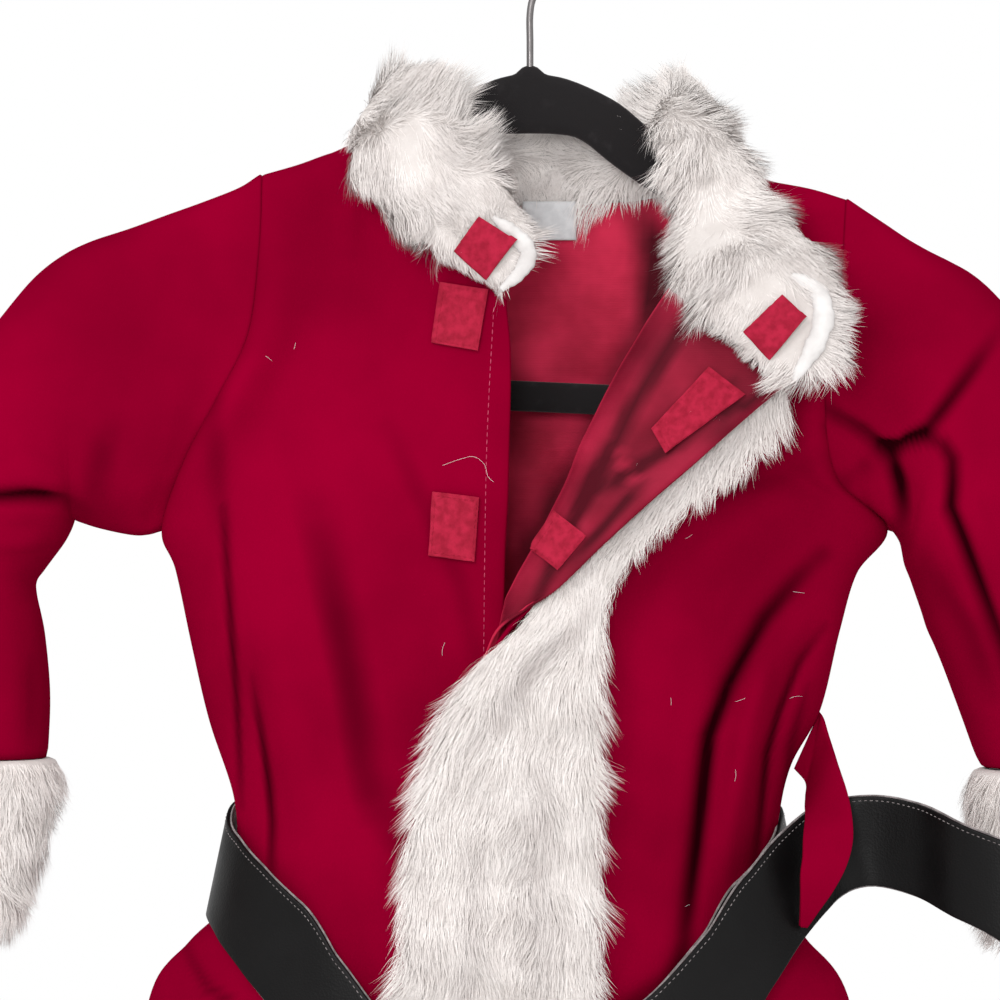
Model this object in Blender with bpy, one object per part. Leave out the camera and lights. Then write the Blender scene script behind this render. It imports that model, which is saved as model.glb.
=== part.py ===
"""Child's fur-trimmed red jacket with its black belt, hung open on a slim hanger.

Every table is in millimetres: x to the viewer's right, y away from the viewer, z up.
The origin is the bearing point inside the crown of the hanger's hook.
"right" and "left" in names are the wearer's sides.
"""
import math

import bpy
import numpy as np
from mathutils import Vector
from mathutils.bvhtree import BVHTree

MM = 0.001

# ---- driving sizes, mm ----
CLOTH = 2.0            # pile cloth
LINING = 1.2
LINING_EASE = 1.8      # air between cloth and lining
SEAM = 0.3             # gap between pieces at a seam
SLEEVE_SEAM = 1.7      # the sleeve head starts this far out from the armhole edge
PAD = 1.6              # hook-and-loop patches
LINING_ARM = 4.6       # the lining starts where it stands this far off a hanger arm
LABEL = 0.8
ROLL_STEP = 9.0        # the left front's cloth bends this far to each side of its roll line
LEAST_DEPTH = 1.2      # no panel comes nearer the middle plane than this
BELT_HEIGHT = 38.0
BELT_WALL = 1.8
BELT_EDGE = 1.0         # rounding of its edges
BELT_LEAN = 12.0        # its upper edge leans in over the flare below, degrees
BELT_FREE = 145.0       # beyond this x it stands off the body, upright
BELT_EASE = 20.0        # the lean grows over this reach
LOOP_WALL = 1.8
HANGER_WALL = 5.0
HANGER_EDGE = 1.2
WIRE = 3.0
CUFF_LENGTH = 72.0
CUFF_GAP = {"cuff_right": 0.4, "cuff_left": 0.9}
COLLAR_WALL = 20.0

# ---- rows of a panel: places along the side and edge tables ----
ROWS = (0, 0.5, 1, 1.5, 2, 2.5, 3, 3.5, 4, 5, 6, 7, 7.5, 8, 8.4, 9, 10, 11, 12, 13, 14, 15, 16)
ARM_ROWS = 11          # the first rows lie on the armhole
FRONT_COLUMNS = 15
BACK_COLUMNS = 18

# side seam from shoulder to hem: x, z, y of the front's edge, y of the back's edge
SIDE_RIGHT = (
    (-115, -128, -1.2, 1.2),
    (-115, -132.5, -6, 6),
    (-115.5, -159.5, -14, 12),
    (-119.5, -196.5, -23, 18),
    (-132.5, -224, -26, 20),
    (-147, -250.5, -19, 15),
    (-158, -279.5, -1.2, 1.2),
    (-152, -297, -1.2, 1.2),
    (-145, -329.5, -1.2, 1.2),
    (-137.5, -361.5, -1.2, 1.2),
    (-127, -394, -1.2, 1.2),
    (-125.5, -418.5, -1.2, 1.2),
    (-127.5, -439, -1.2, 1.2),
    (-147.5, -458.5, -1.2, 1.2),
    (-163.5, -482, -1.2, 1.2),
    (-173, -555, -1.2, 1.2),
    (-177, -632.5, -1.2, 1.2),
)
SIDE_LEFT = (
    (135.5, -138.5, -1.2, 1.2),
    (135, -143, -6, 6),
    (132.5, -168, -14, 12),
    (127.5, -198, -23, 18),
    (124, -226, -26, 20),
    (130, -258.5, -19, 15),
    (153, -279, -1.2, 1.2),
    (140, -298, -1.2, 1.2),
    (132.5, -323, -1.2, 1.2),
    (124, -357, -1.2, 1.2),
    (111.5, -380.5, -1.2, 1.2),
    (106, -404.5, -1.2, 1.2),
    (103.5, -434.5, -1.2, 1.2),
    (117.5, -455, -1.2, 1.2),
    (136.5, -482, -1.2, 1.2),
    (147, -555, -1.2, 1.2),
    (151.5, -632.5, -1.2, 1.2),
)
# free edge of the right front: x, y, z
EDGE_RIGHT = (
    (-10, -38, -183),
    (-10, -38.5, -187),
    (-8.5, -40, -204),
    (-8.5, -42, -225),
    (-9, -43, -246),
    (-9.5, -44, -267),
    (-10.5, -45, -286),
    (-11, -46, -304.5),
    (-12, -47, -330),
    (-13, -48, -361),
    (-13, -49, -392.5),
    (-13, -50, -421.5),
    (-13, -51, -451),
    (-12, -51, -465.5),
    (-11, -51, -482),
    (-10.5, -54, -546.5),
    (-9.5, -57, -621),
)
# left front: roll line x, y, z; free edge x, y, z; half the depth of the roll
FOLD_LEFT = (
    (61.5, -50, -180, 104, -69, -220, 11),
    (59, -50, -183.5, 102, -69, -222, 11),
    (50.5, -51, -196, 93.5, -69, -229, 11),
    (40, -52, -213.5, 81, -69, -240, 11),
    (29.5, -53, -235.5, 66.5, -70, -253, 11),
    (19, -55, -258.5, 48.5, -70, -268.5, 11),
    (8, -57, -281, 30, -69, -285.5, 10),
    (-3.5, -58, -303.5, 12, -67, -303, 8),
    (-9, -55, -320.5, -10.5, -62, -322.5, 4),
    (-4.5, -54, -361, -30.5, -56, -352.5, 0),
    (-2.5, -55, -390, -41, -57, -377.5, 0),
    (-1, -56, -419, -46, -58, -406.5, 0),
    (-0.5, -57, -448, -48.5, -59, -444, 0),
    (-0.5, -57, -465, -49, -60, -461.5, 0),
    (-0.5, -58, -481.5, -49.5, -61, -481, 0),
    (0.5, -61, -545.5, -50, -64, -545, 0),
    (1, -64, -619.5, -50, -67, -619, 0),
)
# shoulder seam and neckline, from the shoulder's end inwards: x, y, z
TOP_RIGHT = (
    (-114.5, -1, -128),
    (-99, -1, -123.5),
    (-85, -1, -118.5),
    (-72, -1, -115.5),
    (-64, -10, -134.5),
    (-49, -22, -153),
    (-30, -32, -169),
    (-10, -38, -183),
)
TOP_LEFT = (
    (135.5, -1, -138.5),
    (121, -1, -134),
    (105.5, -1, -131),
    (89.5, -1, -128),
    (82, -10, -141),
    (73, -22, -156.5),
    (67.5, -32, -170),
)
TOP_BACK = (
    (-115, 1, -128),
    (-99, 1, -123.5),
    (-85, 1, -118),
    (-72.5, 1, -115),
    (-58.5, 14, -132),
    (-37, 25, -138.5),
    (0, 31, -141),
    (35, 27, -139.5),
    (65, 16, -137),
    (89.5, 1, -127.5),
    (105.5, 1, -131),
    (121.5, 1, -134),
    (135.5, 1, -138.5),
)
# depth of the back's middle at each row of its side table
BACK_DEPTH = (30, 28, 25, 23, 23, 24, 25, 27, 29, 31, 32, 32, 33, 34, 36, 40, 43)
FRONT_ROUND = 0.62     # how soon a front swings forward from its side seam: 0.5 is an ellipse, 1 is flat
BACK_ROUND = 0.36
ARM_REACH = 0.16       # how far an armhole's depth is felt across a panel
OVER_ARM = 7.0         # how far a panel stands off where it drops over a hanger arm
NECK_REACH = 62.0      # how far the neckline's and shoulder's depth is felt down a panel
# main folds: x0, z0, x1, z1, half width, height towards the outside (minus is a trough)
FOLDS_RIGHT = (
    (-141, -250, -97, -380, 15, 2.5),
    (-109, -330, -84, -430, 12, 4),
    (-127, -330, -122, -410, 10, -3),
    (-116, -345, -112, -420, 9, -4),
    (-100, -425, -60, -520, 12, 4),
    (-120, -490, -135, -632, 22, 6),
    (-70, -520, -75, -632, 20, -6),
)
FOLDS_LEFT = (
    (124, -300, 84, -342, 8, -6),
    (83, -344, 70, -432, 8, -7),
    (100, -332, 88, -400, 7, 5),
    (124, -318, 104, -360, 6, -5),
    (103, -362, 96, -420, 6, -6),
    (118, -250, 60, -300, 12, 4),
    (100, -490, 112, -632, 22, 6),
    (60, -520, 62, -632, 20, -6),
)
FOLDS_BACK = (
    (-90, -330, -70, -430, 13, 5),
    (-45, -350, -40, -440, 11, -4),
    (80, -330, 62, -430, 13, 5),
    (30, -350, 28, -440, 11, -4),
    (-95, -480, -115, -632, 24, 7),
    (-35, -490, -40, -632, 22, -6),
    (30, -490, 38, -632, 24, 7),
    (90, -490, 100, -632, 22, -6),
)
# sleeve rings: top x, z; underside x, z; half depth to the front; half depth to the back
SLEEVE_RIGHT = (
    (-124.5, -133.5, -164.5, -281, 24, 18),
    (-139.5, -139.5, -172, -281, 26, 20),
    (-157.5, -146, -186, -278, 27, 21),
    (-175, -152.5, -193.5, -275.5, 28, 22),
    (-192.5, -158.5, -196.5, -274.5, 29, 23),
    (-204, -165.5, -197, -276, 30, 24),
    (-216.5, -176.5, -198, -278.5, 31, 25),
    (-228, -192, -200, -283, 31, 26),
    (-241, -209, -203.5, -288, 31, 26),
    (-257, -237, -208.5, -295, 30, 26),
    (-269, -262.5, -212.5, -300.5, 29, 26),
    (-279.5, -297, -213.5, -305.5, 28, 25),
    (-285, -327, -210, -322, 27, 25),
    (-289.5, -353, -207.5, -348.5, 27, 25),
    (-292.5, -377.5, -208.5, -377.5, 27, 25),
)
SLEEVE_LEFT = (
    (143, -143, 158, -280.5, 22, 20),
    (155, -151, 159, -282.5, 24, 21),
    (164, -157, 160, -285, 26, 22),
    (175, -163, 161, -288, 28, 23),
    (185, -168, 161.5, -293, 29, 24),
    (193.5, -174, 164, -299.5, 30, 25),
    (202, -182.5, 166.5, -306.5, 31, 26),
    (213, -194, 169.5, -315, 31, 26),
    (221.5, -209, 172.5, -324, 31, 26),
    (230, -228.5, 176.5, -332.5, 30, 26),
    (243, -267, 181, -344.5, 29, 25),
    (253.5, -310, 186, -358, 28, 25),
    (264.5, -353, 191.5, -373.5, 27, 25),
    (273, -381, 195.5, -381.5, 27, 25),
)
# fur cuff: share of its length, pile outside the sleeve, wall inside it
CUFF = ((0.0, 2.5, 1.6), (0.06, 7.0, 1.8), (0.3, 10.0, 2.0), (0.7, 10.5, 2.0), (0.94, 8.0, 1.8), (1.0, 3.0, 1.6))
CUFF_SWEEP = {"cuff_right": (-16, 0.90), "cuff_left": (5, 0.94)}
# fur collar: seam x, y, z; free edge x, y, z
COLLAR = (
    (-13, -42, -179.5, 3, -38.5, -156),
    (-34, -41, -167, -13.5, -37.5, -128.5),
    (-51, -37, -155, -28.5, -32.5, -104),
    (-64.5, -27, -141, -38, -24, -84),
    (-73.5, -17, -129, -49, -14, -79),
    (-75, -2, -111.5, -59.5, -3, -76.5),
    (-68.5, 13, -120.5, -56, 8.5, -78),
    (-58, 19, -131.5, -50, 17, -81),
    (-37, 27, -136, -32.5, 27, -89),
    (0, 33, -139.5, 0, 33, -98),
    (33.5, 29, -138.5, 29.5, 26, -96),
    (61, 21, -131.5, 40.5, 14.5, -87),
    (79, 11, -125, 53, 0, -84),
    (85, -4, -118.5, 63, -10.5, -85),
    (58, -16, -111, 70.5, -18, -90),
    (57.5, -20, -123.5, 85, -26.5, -104),
    (61, -28, -138.5, 96.5, -35.5, -121.5),
    (62, -38, -153.5, 101.5, -43.5, -138),
    (61, -48, -167.5, 112.5, -51.5, -153.5),
    (68, -72, -188, 122.5, -69, -170),
    (84.5, -75, -203.5, 129, -73, -189),
    (102.5, -75, -219, 128.5, -73, -209),
)
# fur front band: edge to the viewer's right x, y, z; edge to the viewer's left x, y, z; thickness
PLACKET = (
    (107.5, -59, -224, 79.5, -57, -193, 7),
    (105, -59, -235.5, 68.5, -57, -205.5, 8),
    (97.5, -59, -243.5, 58.5, -57, -222, 8),
    (86, -60, -254.5, 48.5, -58, -241, 8),
    (71, -60, -266, 38, -59, -260.5, 8),
    (53.5, -61, -280, 25.5, -60, -280.5, 8),
    (38, -61, -297, 12, -60, -302, 7),
    (31.5, -63, -312.5, 0.5, -63, -319.5, 7),
    (29.5, -65, -336.5, -18.5, -64, -336.5, 9),
    (28.5, -66, -364.5, -35.5, -66, -361.5, 13),
    (28.5, -66, -391.5, -47.5, -66, -387, 13),
    (28.5, -66, -418, -52.5, -67, -412, 12),
    (28.5, -66, -447, -54.5, -67, -445, 12),
    (28, -66, -474, -55.5, -67, -474, 10),
    (27.5, -66, -495, -56, -67, -494.5, 6),
    (27.5, -67, -528, -56, -68, -527.5, 6),
    (27.5, -71, -552, -56, -73, -551.5, 12),
    (27.5, -73, -584.5, -56, -75, -584.5, 13),
    (27.5, -75, -615, -56, -77, -615, 13),
)
# belt's centre line from its buckle round the body and over itself: x, y, z
BELT = (
    (12, -75, -510),
    (49, -71, -495),
    (75.5, -59, -472.5),
    (92, -44, -451),
    (103.5, -27, -437.5),
    (111, -6, -427),
    (110.5, 14, -418),
    (87, 36, -411),
    (40, 44, -408),
    (-13, 46, -406),
    (-66, 44, -403.5),
    (-96.5, 37, -405.5),
    (-115, 26, -410),
    (-127, 13, -415),
    (-134, -1, -423.5),
    (-128.5, -18, -432.5),
    (-116.5, -34, -445),
    (-101.5, -46, -460.5),
    (-84.5, -59, -482.5),
    (-64, -70, -502.5),
    (-41, -79, -512),
    (-13, -82, -513.5),
    (11.5, -81, -510),
    (49, -77, -494),
    (76.5, -66, -471),
    (95.5, -51, -447.5),
    (111, -35, -429.5),
    (127.5, -22, -416.5),
    (144.5, -19, -412),
    (163, -28, -415),
    (178, -43, -422),
    (196, -53, -430),
    (220.5, -56, -444),
)
# belt loop from its upper to its lower end: inner edge x, y, z; outer edge x, y, z
LOOP = (
    (113.5, 0, -382.5, 124.5, 0, -358),
    (119, 1, -389, 125.5, -2, -360),
    (118.5, -6, -394.5, 127.5, -6, -367.5),
    (117, -21, -398, 130.5, -18, -378.5),
    (116, -32, -402, 134, -27, -390),
    (114.5, -40, -409, 135.5, -35, -400),
    (114, -44, -416.5, 135.5, -38, -411),
    (113, -46, -423.5, 132.5, -41, -421),
    (113, -46, -431.5, 127, -42, -431),
    (113, -45, -439, 120.5, -42, -440),
    (113, -42, -446, 116, -40, -446.5),
)
# patches: four corners, x, z
LOOP_PAD_UPPER = ((-37.5, -175), (-17.5, -178.5), (-22, -204.5), (-41.5, -201))
LOOP_PAD_LOWER = ((-41, -263.5), (-21.5, -266), (-23.5, -293), (-43, -290.5))
COLLAR_PAD_RIGHT = ((-21.5, -148.5), (-6, -158.5), (-18, -174), (-31.5, -162))
COLLAR_PAD_LEFT = ((87.5, -197.5), (98.5, -209), (112.5, -192), (103, -183))
HOOK_PAD_UPPER = ((73.5, -212), (88.5, -223.5), (55.5, -248), (49.5, -237.5))
HOOK_PAD_LOWER = ((10.5, -272), (22.5, -281.5), (11, -296), (0, -287.5))
# label, down from the neck seam: half width, y, z
LABEL_ROWS = ((11.5, 22.5, -137), (11.8, 21.6, -143), (11.8, 21.0, -149), (11.8, 20.8, -154))
LABEL_X = 8.5
# hanger outline: outer x, z; inner x, z
HANGER = (
    (0, -80, 0, -109.5),
    (3.5, -80.5, 3.5, -109.5),
    (6, -84, 6, -109.5),
    (9.5, -84.5, 8, -109.5),
    (15.5, -85.5, 13, -110),
    (25.5, -89.5, 19, -110.5),
    (35.5, -94.5, 25, -114),
    (41.5, -98.5, 30, -118.5),
    (49, -105.5, 35.5, -123),
    (59.5, -114, 46, -130.5),
    (73, -124.5, 59.5, -139.5),
    (89.5, -134, 79.5, -150),
    (105.5, -136.5, 97.5, -155),
    (121.5, -139.5, 115, -159),
    (135.5, -144, 127.5, -163),
    (153, -155, 143, -173),
    (175, -168, 164.5, -186),
    (193.5, -179.5, 183, -196),
    (204, -189, 191.5, -202.5),
    (210.5, -200.5, 195.5, -207.5),
    (212.5, -213.5, 197.5, -213.5),
    (210, -226, 196.5, -219.5),
    (202, -235, 193, -223),
    (191.5, -237.5, 187, -224),
    (116, -234.5, 116, -221),
    (14, -229.5, 14, -216.5),
    (-99, -225, -99, -211.5),
    (-187, -220.5, -187, -207.5),
    (-197, -219.5, -190, -206.5),
    (-206.5, -215.5, -194.5, -203.5),
    (-211.5, -204.5, -197.5, -198),
    (-212.5, -194, -198, -192),
    (-210, -183, -195, -187),
    (-206.5, -176, -192, -185),
    (-199.5, -170, -188.5, -183),
    (-192.5, -164.5, -183, -182.5),
    (-175, -158, -167.5, -177),
    (-157.5, -151.5, -150, -171),
    (-139.5, -144.5, -132, -164.5),
    (-124.5, -139, -117, -159),
    (-115, -133.5, -107.5, -154),
    (-99, -129, -91.5, -149),
    (-85, -124.5, -77.5, -144),
    (-73, -121.5, -63.5, -138.5),
    (-62.5, -115, -52, -132),
    (-50.5, -106, -38.5, -123),
    (-43, -100.5, -32, -118.5),
    (-35.5, -96, -26, -115),
    (-26, -90.5, -20, -111),
    (-15.5, -86, -13.5, -110),
    (-9, -84.5, -9, -109.5),
    (-6, -84, -6, -109.5),
    (-3.5, -80.5, -3.5, -109.5),
)
# hook wire from boss to tip: x, z
HOOK = ((0, -79.2), (0, -70), (0, -58), (2, -50), (9, -43), (17, -36), (21.5, -27), (21.5, -16), (16, -6),
        (8, -0.5), (0, 1.5), (-9, -0.2), (-17, -6), (-21.5, -15), (-22, -25), (-19, -34))
BUCKLE = (52, 50, 7, 3)   # width, height, bar, thickness
BUCKLE_CENTRE = (4.0, -89.0, -511.0)

MATERIALS = {
    "velvet": ((0.28, 0.0, 0.025), 0.75, 0.0),
    "satin": ((0.33, 0.02, 0.05), 0.35, 0.0),
    "fur": ((0.66, 0.60, 0.57), 0.95, 0.0),
    "tape": ((0.42, 0.02, 0.05), 0.8, 0.0),
    "label": ((0.6, 0.6, 0.6), 0.6, 0.0),
    "vinyl": ((0.012, 0.011, 0.011), 0.35, 0.0),
    "flocked_plastic": ((0.02, 0.018, 0.019), 0.9, 0.0),
    "wire": ((0.03, 0.03, 0.032), 0.4, 0.8),
    "buckle_metal": ((0.5, 0.42, 0.25), 0.3, 1.0),
}


# ---- shapes ----
def clear_scene():
    for obj in list(bpy.data.objects):
        bpy.data.objects.remove(obj, do_unlink=True)


def spline(rows, places):
    """Smooth curve through a table's rows, asked at places counted in rows."""
    rows = np.array(rows, float)
    last = len(rows) - 1
    padded = np.vstack([2 * rows[0] - rows[1], rows, 2 * rows[-1] - rows[-2]])
    places = np.clip(np.array(places, float), 0, last)
    k = np.minimum(places.astype(int), last - 1)
    t = (places - k)[:, None]
    a, b, c, d = (padded[k + i] for i in range(4))
    return b + 0.5 * t * (c - a + t * (2 * a - 5 * b + 4 * c - d + t * (3 * (b - c) + d - a)))


def even(rows, count):
    """A table's curve at evenly spaced points."""
    fine = spline(rows, np.linspace(0, len(rows) - 1, 400))
    run = np.concatenate([[0], np.cumsum(np.linalg.norm(np.diff(fine, axis=0), axis=1))])
    want = np.linspace(0, run[-1], count)
    return np.stack([np.interp(want, run, fine[:, i]) for i in range(fine.shape[1])], axis=1)


def patch(side, edge, top, hem, u, v):
    """Surface between four edges."""
    u = u[None, :, None]
    v = v[:, None, None]
    across = (1 - u) * side[:, None, :] + u * edge[:, None, :]
    down = (1 - v) * top[None] + v * hem[None]
    corners = (1 - v) * ((1 - u) * top[0] + u * top[-1]) + v * ((1 - u) * hem[0] + u * hem[-1])
    return across + down - corners


def hem_curve(a, b, count, depth):
    """Hem between two points, full in the middle."""
    u = np.linspace(0, 1, count)
    line = (1 - u)[:, None] * a + u[:, None] * b
    line[:, 1] += depth * np.sin(math.pi * u)
    return line


def fold_height(x, z, folds):
    """Height of the folds at points of a panel."""
    total = np.zeros_like(x)
    for x0, z0, x1, z1, half, height in folds:
        dx, dz = x1 - x0, z1 - z0
        along = ((x - x0) * dx + (z - z0) * dz) / (dx * dx + dz * dz)
        near = np.clip(along, 0, 1)
        off = np.hypot(x - x0 - near * dx, z - z0 - near * dz)
        ends = np.sin(math.pi * np.clip(0.12 + 0.76 * near, 0, 1))
        total += height * ends * np.exp(-(off / half) ** 2)
    return total


def settle(grid, deep, across, sides, top):
    """Gives a panel its depth: its middle's, swung in to its sides, and eased to its top edge."""
    depth = deep[:, None] * across[None, :]
    for edge, share in sides:
        depth = depth + edge[:, None] * share[None, :]
    fall = grid[0, :, 2][None, :] - grid[:, :, 2]
    ease = np.exp(-(fall / NECK_REACH) ** 2)
    depth = depth + (top[:, 1] - depth[0])[None, :] * ease
    way = np.sign(deep[0])
    least = LEAST_DEPTH + OVER_ARM * (1 - np.exp(-fall / 4)) * np.exp(-(fall / 45) ** 2)
    grid[:, :, 1] = way * np.maximum(way * depth, least)
    return grid


def front_right_surface(columns, rows):
    rows = np.array(rows, float)
    u = np.linspace(0, 1, columns)
    v = rows / (len(SIDE_RIGHT) - 1)
    side = spline([(x, f, z) for x, z, f, b in SIDE_RIGHT], rows)
    edge = spline(EDGE_RIGHT, rows)
    top = even(TOP_RIGHT, columns)
    top[:, 1] = np.minimum(top[:, 1], -LEAST_DEPTH)
    hem = hem_curve(side[-1], edge[-1], columns, 0)
    grid = patch(side, edge, top, hem, u, v)
    across = (1 - (1 - u) ** 2) ** FRONT_ROUND
    settle(grid, edge[:, 1], across, [(side[:, 1], np.exp(-(u / ARM_REACH) ** 2))], top)
    fade = (4 * u * (1 - u))[None, :] ** 0.4 * np.clip(v / 0.12, 0, 1)[:, None]
    grid[:, :, 1] -= fade * fold_height(grid[:, :, 0], grid[:, :, 2], FOLDS_RIGHT)
    grid[:, :, 1] = np.minimum(grid[:, :, 1], -LEAST_DEPTH)
    return grid


def front_left_surface(columns, rows, lapel=6):
    rows = np.array(rows, float)
    u = np.linspace(0, 1, columns)
    v = rows / (len(SIDE_LEFT) - 1)
    side = spline([(x, f, z) for x, z, f, b in SIDE_LEFT], rows)
    fold = spline(FOLD_LEFT, rows)
    roll, free, depth = fold[:, :3], fold[:, 3:6], fold[:, 6]
    out = free - roll
    out[:, 1] = 0
    width = np.linalg.norm(out, axis=1)
    out /= width[:, None]
    step = np.minimum(ROLL_STEP, 0.45 * width)
    base = roll.copy()
    base[:, 0] += ROLL_STEP
    base[:, 1] += depth
    turn = roll + out * step[:, None]
    turn[:, 1] -= depth
    top = even(TOP_LEFT + (tuple(base[0]),), columns)
    top[:, 1] = np.minimum(top[:, 1], -LEAST_DEPTH)
    hem = hem_curve(side[-1], base[-1], columns, 0)
    grid = patch(side, base, top, hem, u, v)
    across = (1 - (1 - u) ** 2) ** FRONT_ROUND
    settle(grid, base[:, 1], across, [(side[:, 1], np.exp(-(u / ARM_REACH) ** 2))], top)
    fade = (4 * u * (1 - u))[None, :] ** 0.4 * np.clip(v / 0.12, 0, 1)[:, None]
    grid[:, :, 1] -= fade * fold_height(grid[:, :, 0], grid[:, :, 2], FOLDS_LEFT)
    grid[:, :, 1] = np.minimum(grid[:, :, 1], -LEAST_DEPTH)
    out_rows = []
    for i in range(len(rows)):
        knots = [grid[i, -2], grid[i, -1], roll[i], turn[i], 0.5 * (turn[i] + free[i]), free[i]]
        strip = spline(knots, np.linspace(1, 5, lapel + 2)[1:])
        out_rows.append(np.vstack([grid[i], strip]))
    return np.array(out_rows)


def back_surface(columns, rows):
    rows = np.array(rows, float)
    u = np.linspace(0, 1, columns)
    v = rows / (len(SIDE_RIGHT) - 1)
    side = spline([(x, b, z) for x, z, f, b in SIDE_RIGHT], rows)
    edge = spline([(x, b, z) for x, z, f, b in SIDE_LEFT], rows)
    top = even(TOP_BACK, columns)
    top[:, 1] = np.maximum(top[:, 1], LEAST_DEPTH)
    hem = hem_curve(side[-1], edge[-1], columns, 0)
    grid = patch(side, edge, top, hem, u, v)
    deep = spline([(c,) for c in BACK_DEPTH], rows)[:, 0]
    sides = [(side[:, 1], np.exp(-(u / ARM_REACH) ** 2)), (edge[:, 1], np.exp(-((1 - u) / ARM_REACH) ** 2))]
    settle(grid, deep, (4 * u * (1 - u)) ** BACK_ROUND, sides, top)
    fade = (4 * u * (1 - u))[None, :] ** 0.4 * np.clip(v / 0.12, 0, 1)[:, None]
    grid[:, :, 1] += fade * fold_height(grid[:, :, 0], grid[:, :, 2], FOLDS_BACK)
    grid[:, :, 1] = np.maximum(grid[:, :, 1], LEAST_DEPTH)
    return grid


def arm_loop(side_table, outward):
    """Points round an armhole: down the front edge, then up the back edge."""
    rows = np.array(ROWS[:ARM_ROWS], float)
    line = spline(side_table, rows)
    front = np.stack([line[:, 0], line[:, 2], line[:, 1]], axis=1)
    back = np.stack([line[:, 0], line[:, 3], line[:, 1]], axis=1)
    front[0, 1] = back[0, 1] = front[-1, 1] = back[-1, 1] = 0
    loop = np.vstack([front, back[-2:0:-1]])
    loop[:, 0] += outward
    return loop


def sleeve_surface(side_table, table, outward, count=16):
    """Rings of a sleeve from the armhole to the cuff."""
    loop = arm_loop(side_table, outward * SLEEVE_SEAM)
    half = ARM_ROWS - 1
    angle = np.array([math.pi * i / half for i in range(2 * half)])
    top, low = loop[0], loop[half]
    fine = spline(table, np.linspace(0, len(table) - 1, count))
    rings = [loop]
    first = len(fine) * 0.28
    share = np.clip(np.einsum("ij,j->i", (loop - top)[:, (0, 2)], (low - top)[[0, 2]]) / np.sum((low - top)[[0, 2]] ** 2), 0, 1)
    sway = (loop - top - share[:, None] * (low - top))[:, (0, 2)]
    for i, (tx, tz, bx, bz, front, back) in enumerate(fine):
        keep = max(0.0, 1 - (i + 1) / first)
        down = (1 - np.cos(angle)) / 2
        down = keep * share + (1 - keep) * down
        ring = np.zeros((2 * half, 3))
        ring[:, 0] = tx + down * (bx - tx) + keep * sway[:, 0]
        ring[:, 2] = tz + down * (bz - tz) + keep * sway[:, 1]
        deep = np.where(np.arange(2 * half) <= half, -front, back)
        ring[:, 1] = (1 - keep) * deep * np.abs(np.sin(angle)) ** 0.85 + keep * loop[:, 1] * (front / 24.0)
        rings.append(ring)
    return np.array(rings)


def normals(grid, wrap):
    """Unit normals of a grid of points."""
    if wrap:
        du = np.roll(grid, -1, axis=1) - np.roll(grid, 1, axis=1)
    else:
        du = np.gradient(grid, axis=1)
    dv = np.gradient(grid, axis=0)
    n = np.cross(du, dv)
    return n / np.maximum(np.linalg.norm(n, axis=2), 1e-9)[:, :, None]


# ---- bodies ----
def body(name, points, faces, slot):
    mesh = bpy.data.meshes.new(name)
    mesh.from_pydata([tuple(float(c) * MM for c in p) for p in points], [], faces)
    mesh.validate()
    obj = bpy.data.objects.new(name, mesh)
    bpy.context.collection.objects.link(obj)
    mesh.materials.append(material(slot))
    outward(obj)
    return obj


def outward(obj):
    """Turns the faces of a closed body to face out."""
    mesh = obj.data
    volume = 0.0
    for p in mesh.polygons:
        a = mesh.vertices[p.vertices[0]].co
        for i in range(1, len(p.vertices) - 1):
            b = mesh.vertices[p.vertices[i]].co
            c = mesh.vertices[p.vertices[i + 1]].co
            volume += a.dot(b.cross(c))
    if volume < 0:
        mesh.flip_normals()


def material(slot):
    found = bpy.data.materials.get(slot)
    if found:
        return found
    colour, rough, metal = MATERIALS[slot]
    made = bpy.data.materials.new(slot)
    made.use_nodes = True
    shader = made.node_tree.nodes["Principled BSDF"]
    shader.inputs["Base Color"].default_value = (*colour, 1)
    shader.inputs["Roughness"].default_value = rough
    shader.inputs["Metallic"].default_value = metal
    made.diffuse_color = (*colour, 1)
    return made


def walls(inner, outer, wrap):
    """Closed skin between two matching grids of points."""
    rows, cols = inner.shape[:2]
    count = rows * cols
    points = np.vstack([outer.reshape(-1, 3), inner.reshape(-1, 3)])
    faces = []
    last = cols if wrap else cols - 1
    for r in range(rows - 1):
        for c in range(last):
            d = (c + 1) % cols
            q = (r * cols + c, r * cols + d, (r + 1) * cols + d, (r + 1) * cols + c)
            for t in ((q[0], q[1], q[2]), (q[0], q[2], q[3])):
                faces.append(t)
                faces.append(tuple(count + k for k in reversed(t)))
    for c in range(last):
        d = (c + 1) % cols
        faces.append((c, count + c, count + d, d))
        r = (rows - 1) * cols
        faces.append((r + d, count + r + d, count + r + c, r + c))
    if not wrap:
        for r in range(rows - 1):
            a, b = r * cols, (r + 1) * cols
            faces.append((b, count + b, count + a, a))
            a, b = a + cols - 1, b + cols - 1
            faces.append((a, count + a, count + b, b))
    return points, faces


def sheet(name, grid, wall, slot, wrap=False, shift=0.0):
    """Cloth of an even wall on a grid, or beside it by a shift along its normals."""
    n = normals(grid, wrap)
    points, faces = walls(grid + n * (shift - wall / 2), grid + n * (shift + wall / 2), wrap)
    return body(name, points, faces, slot)


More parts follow.
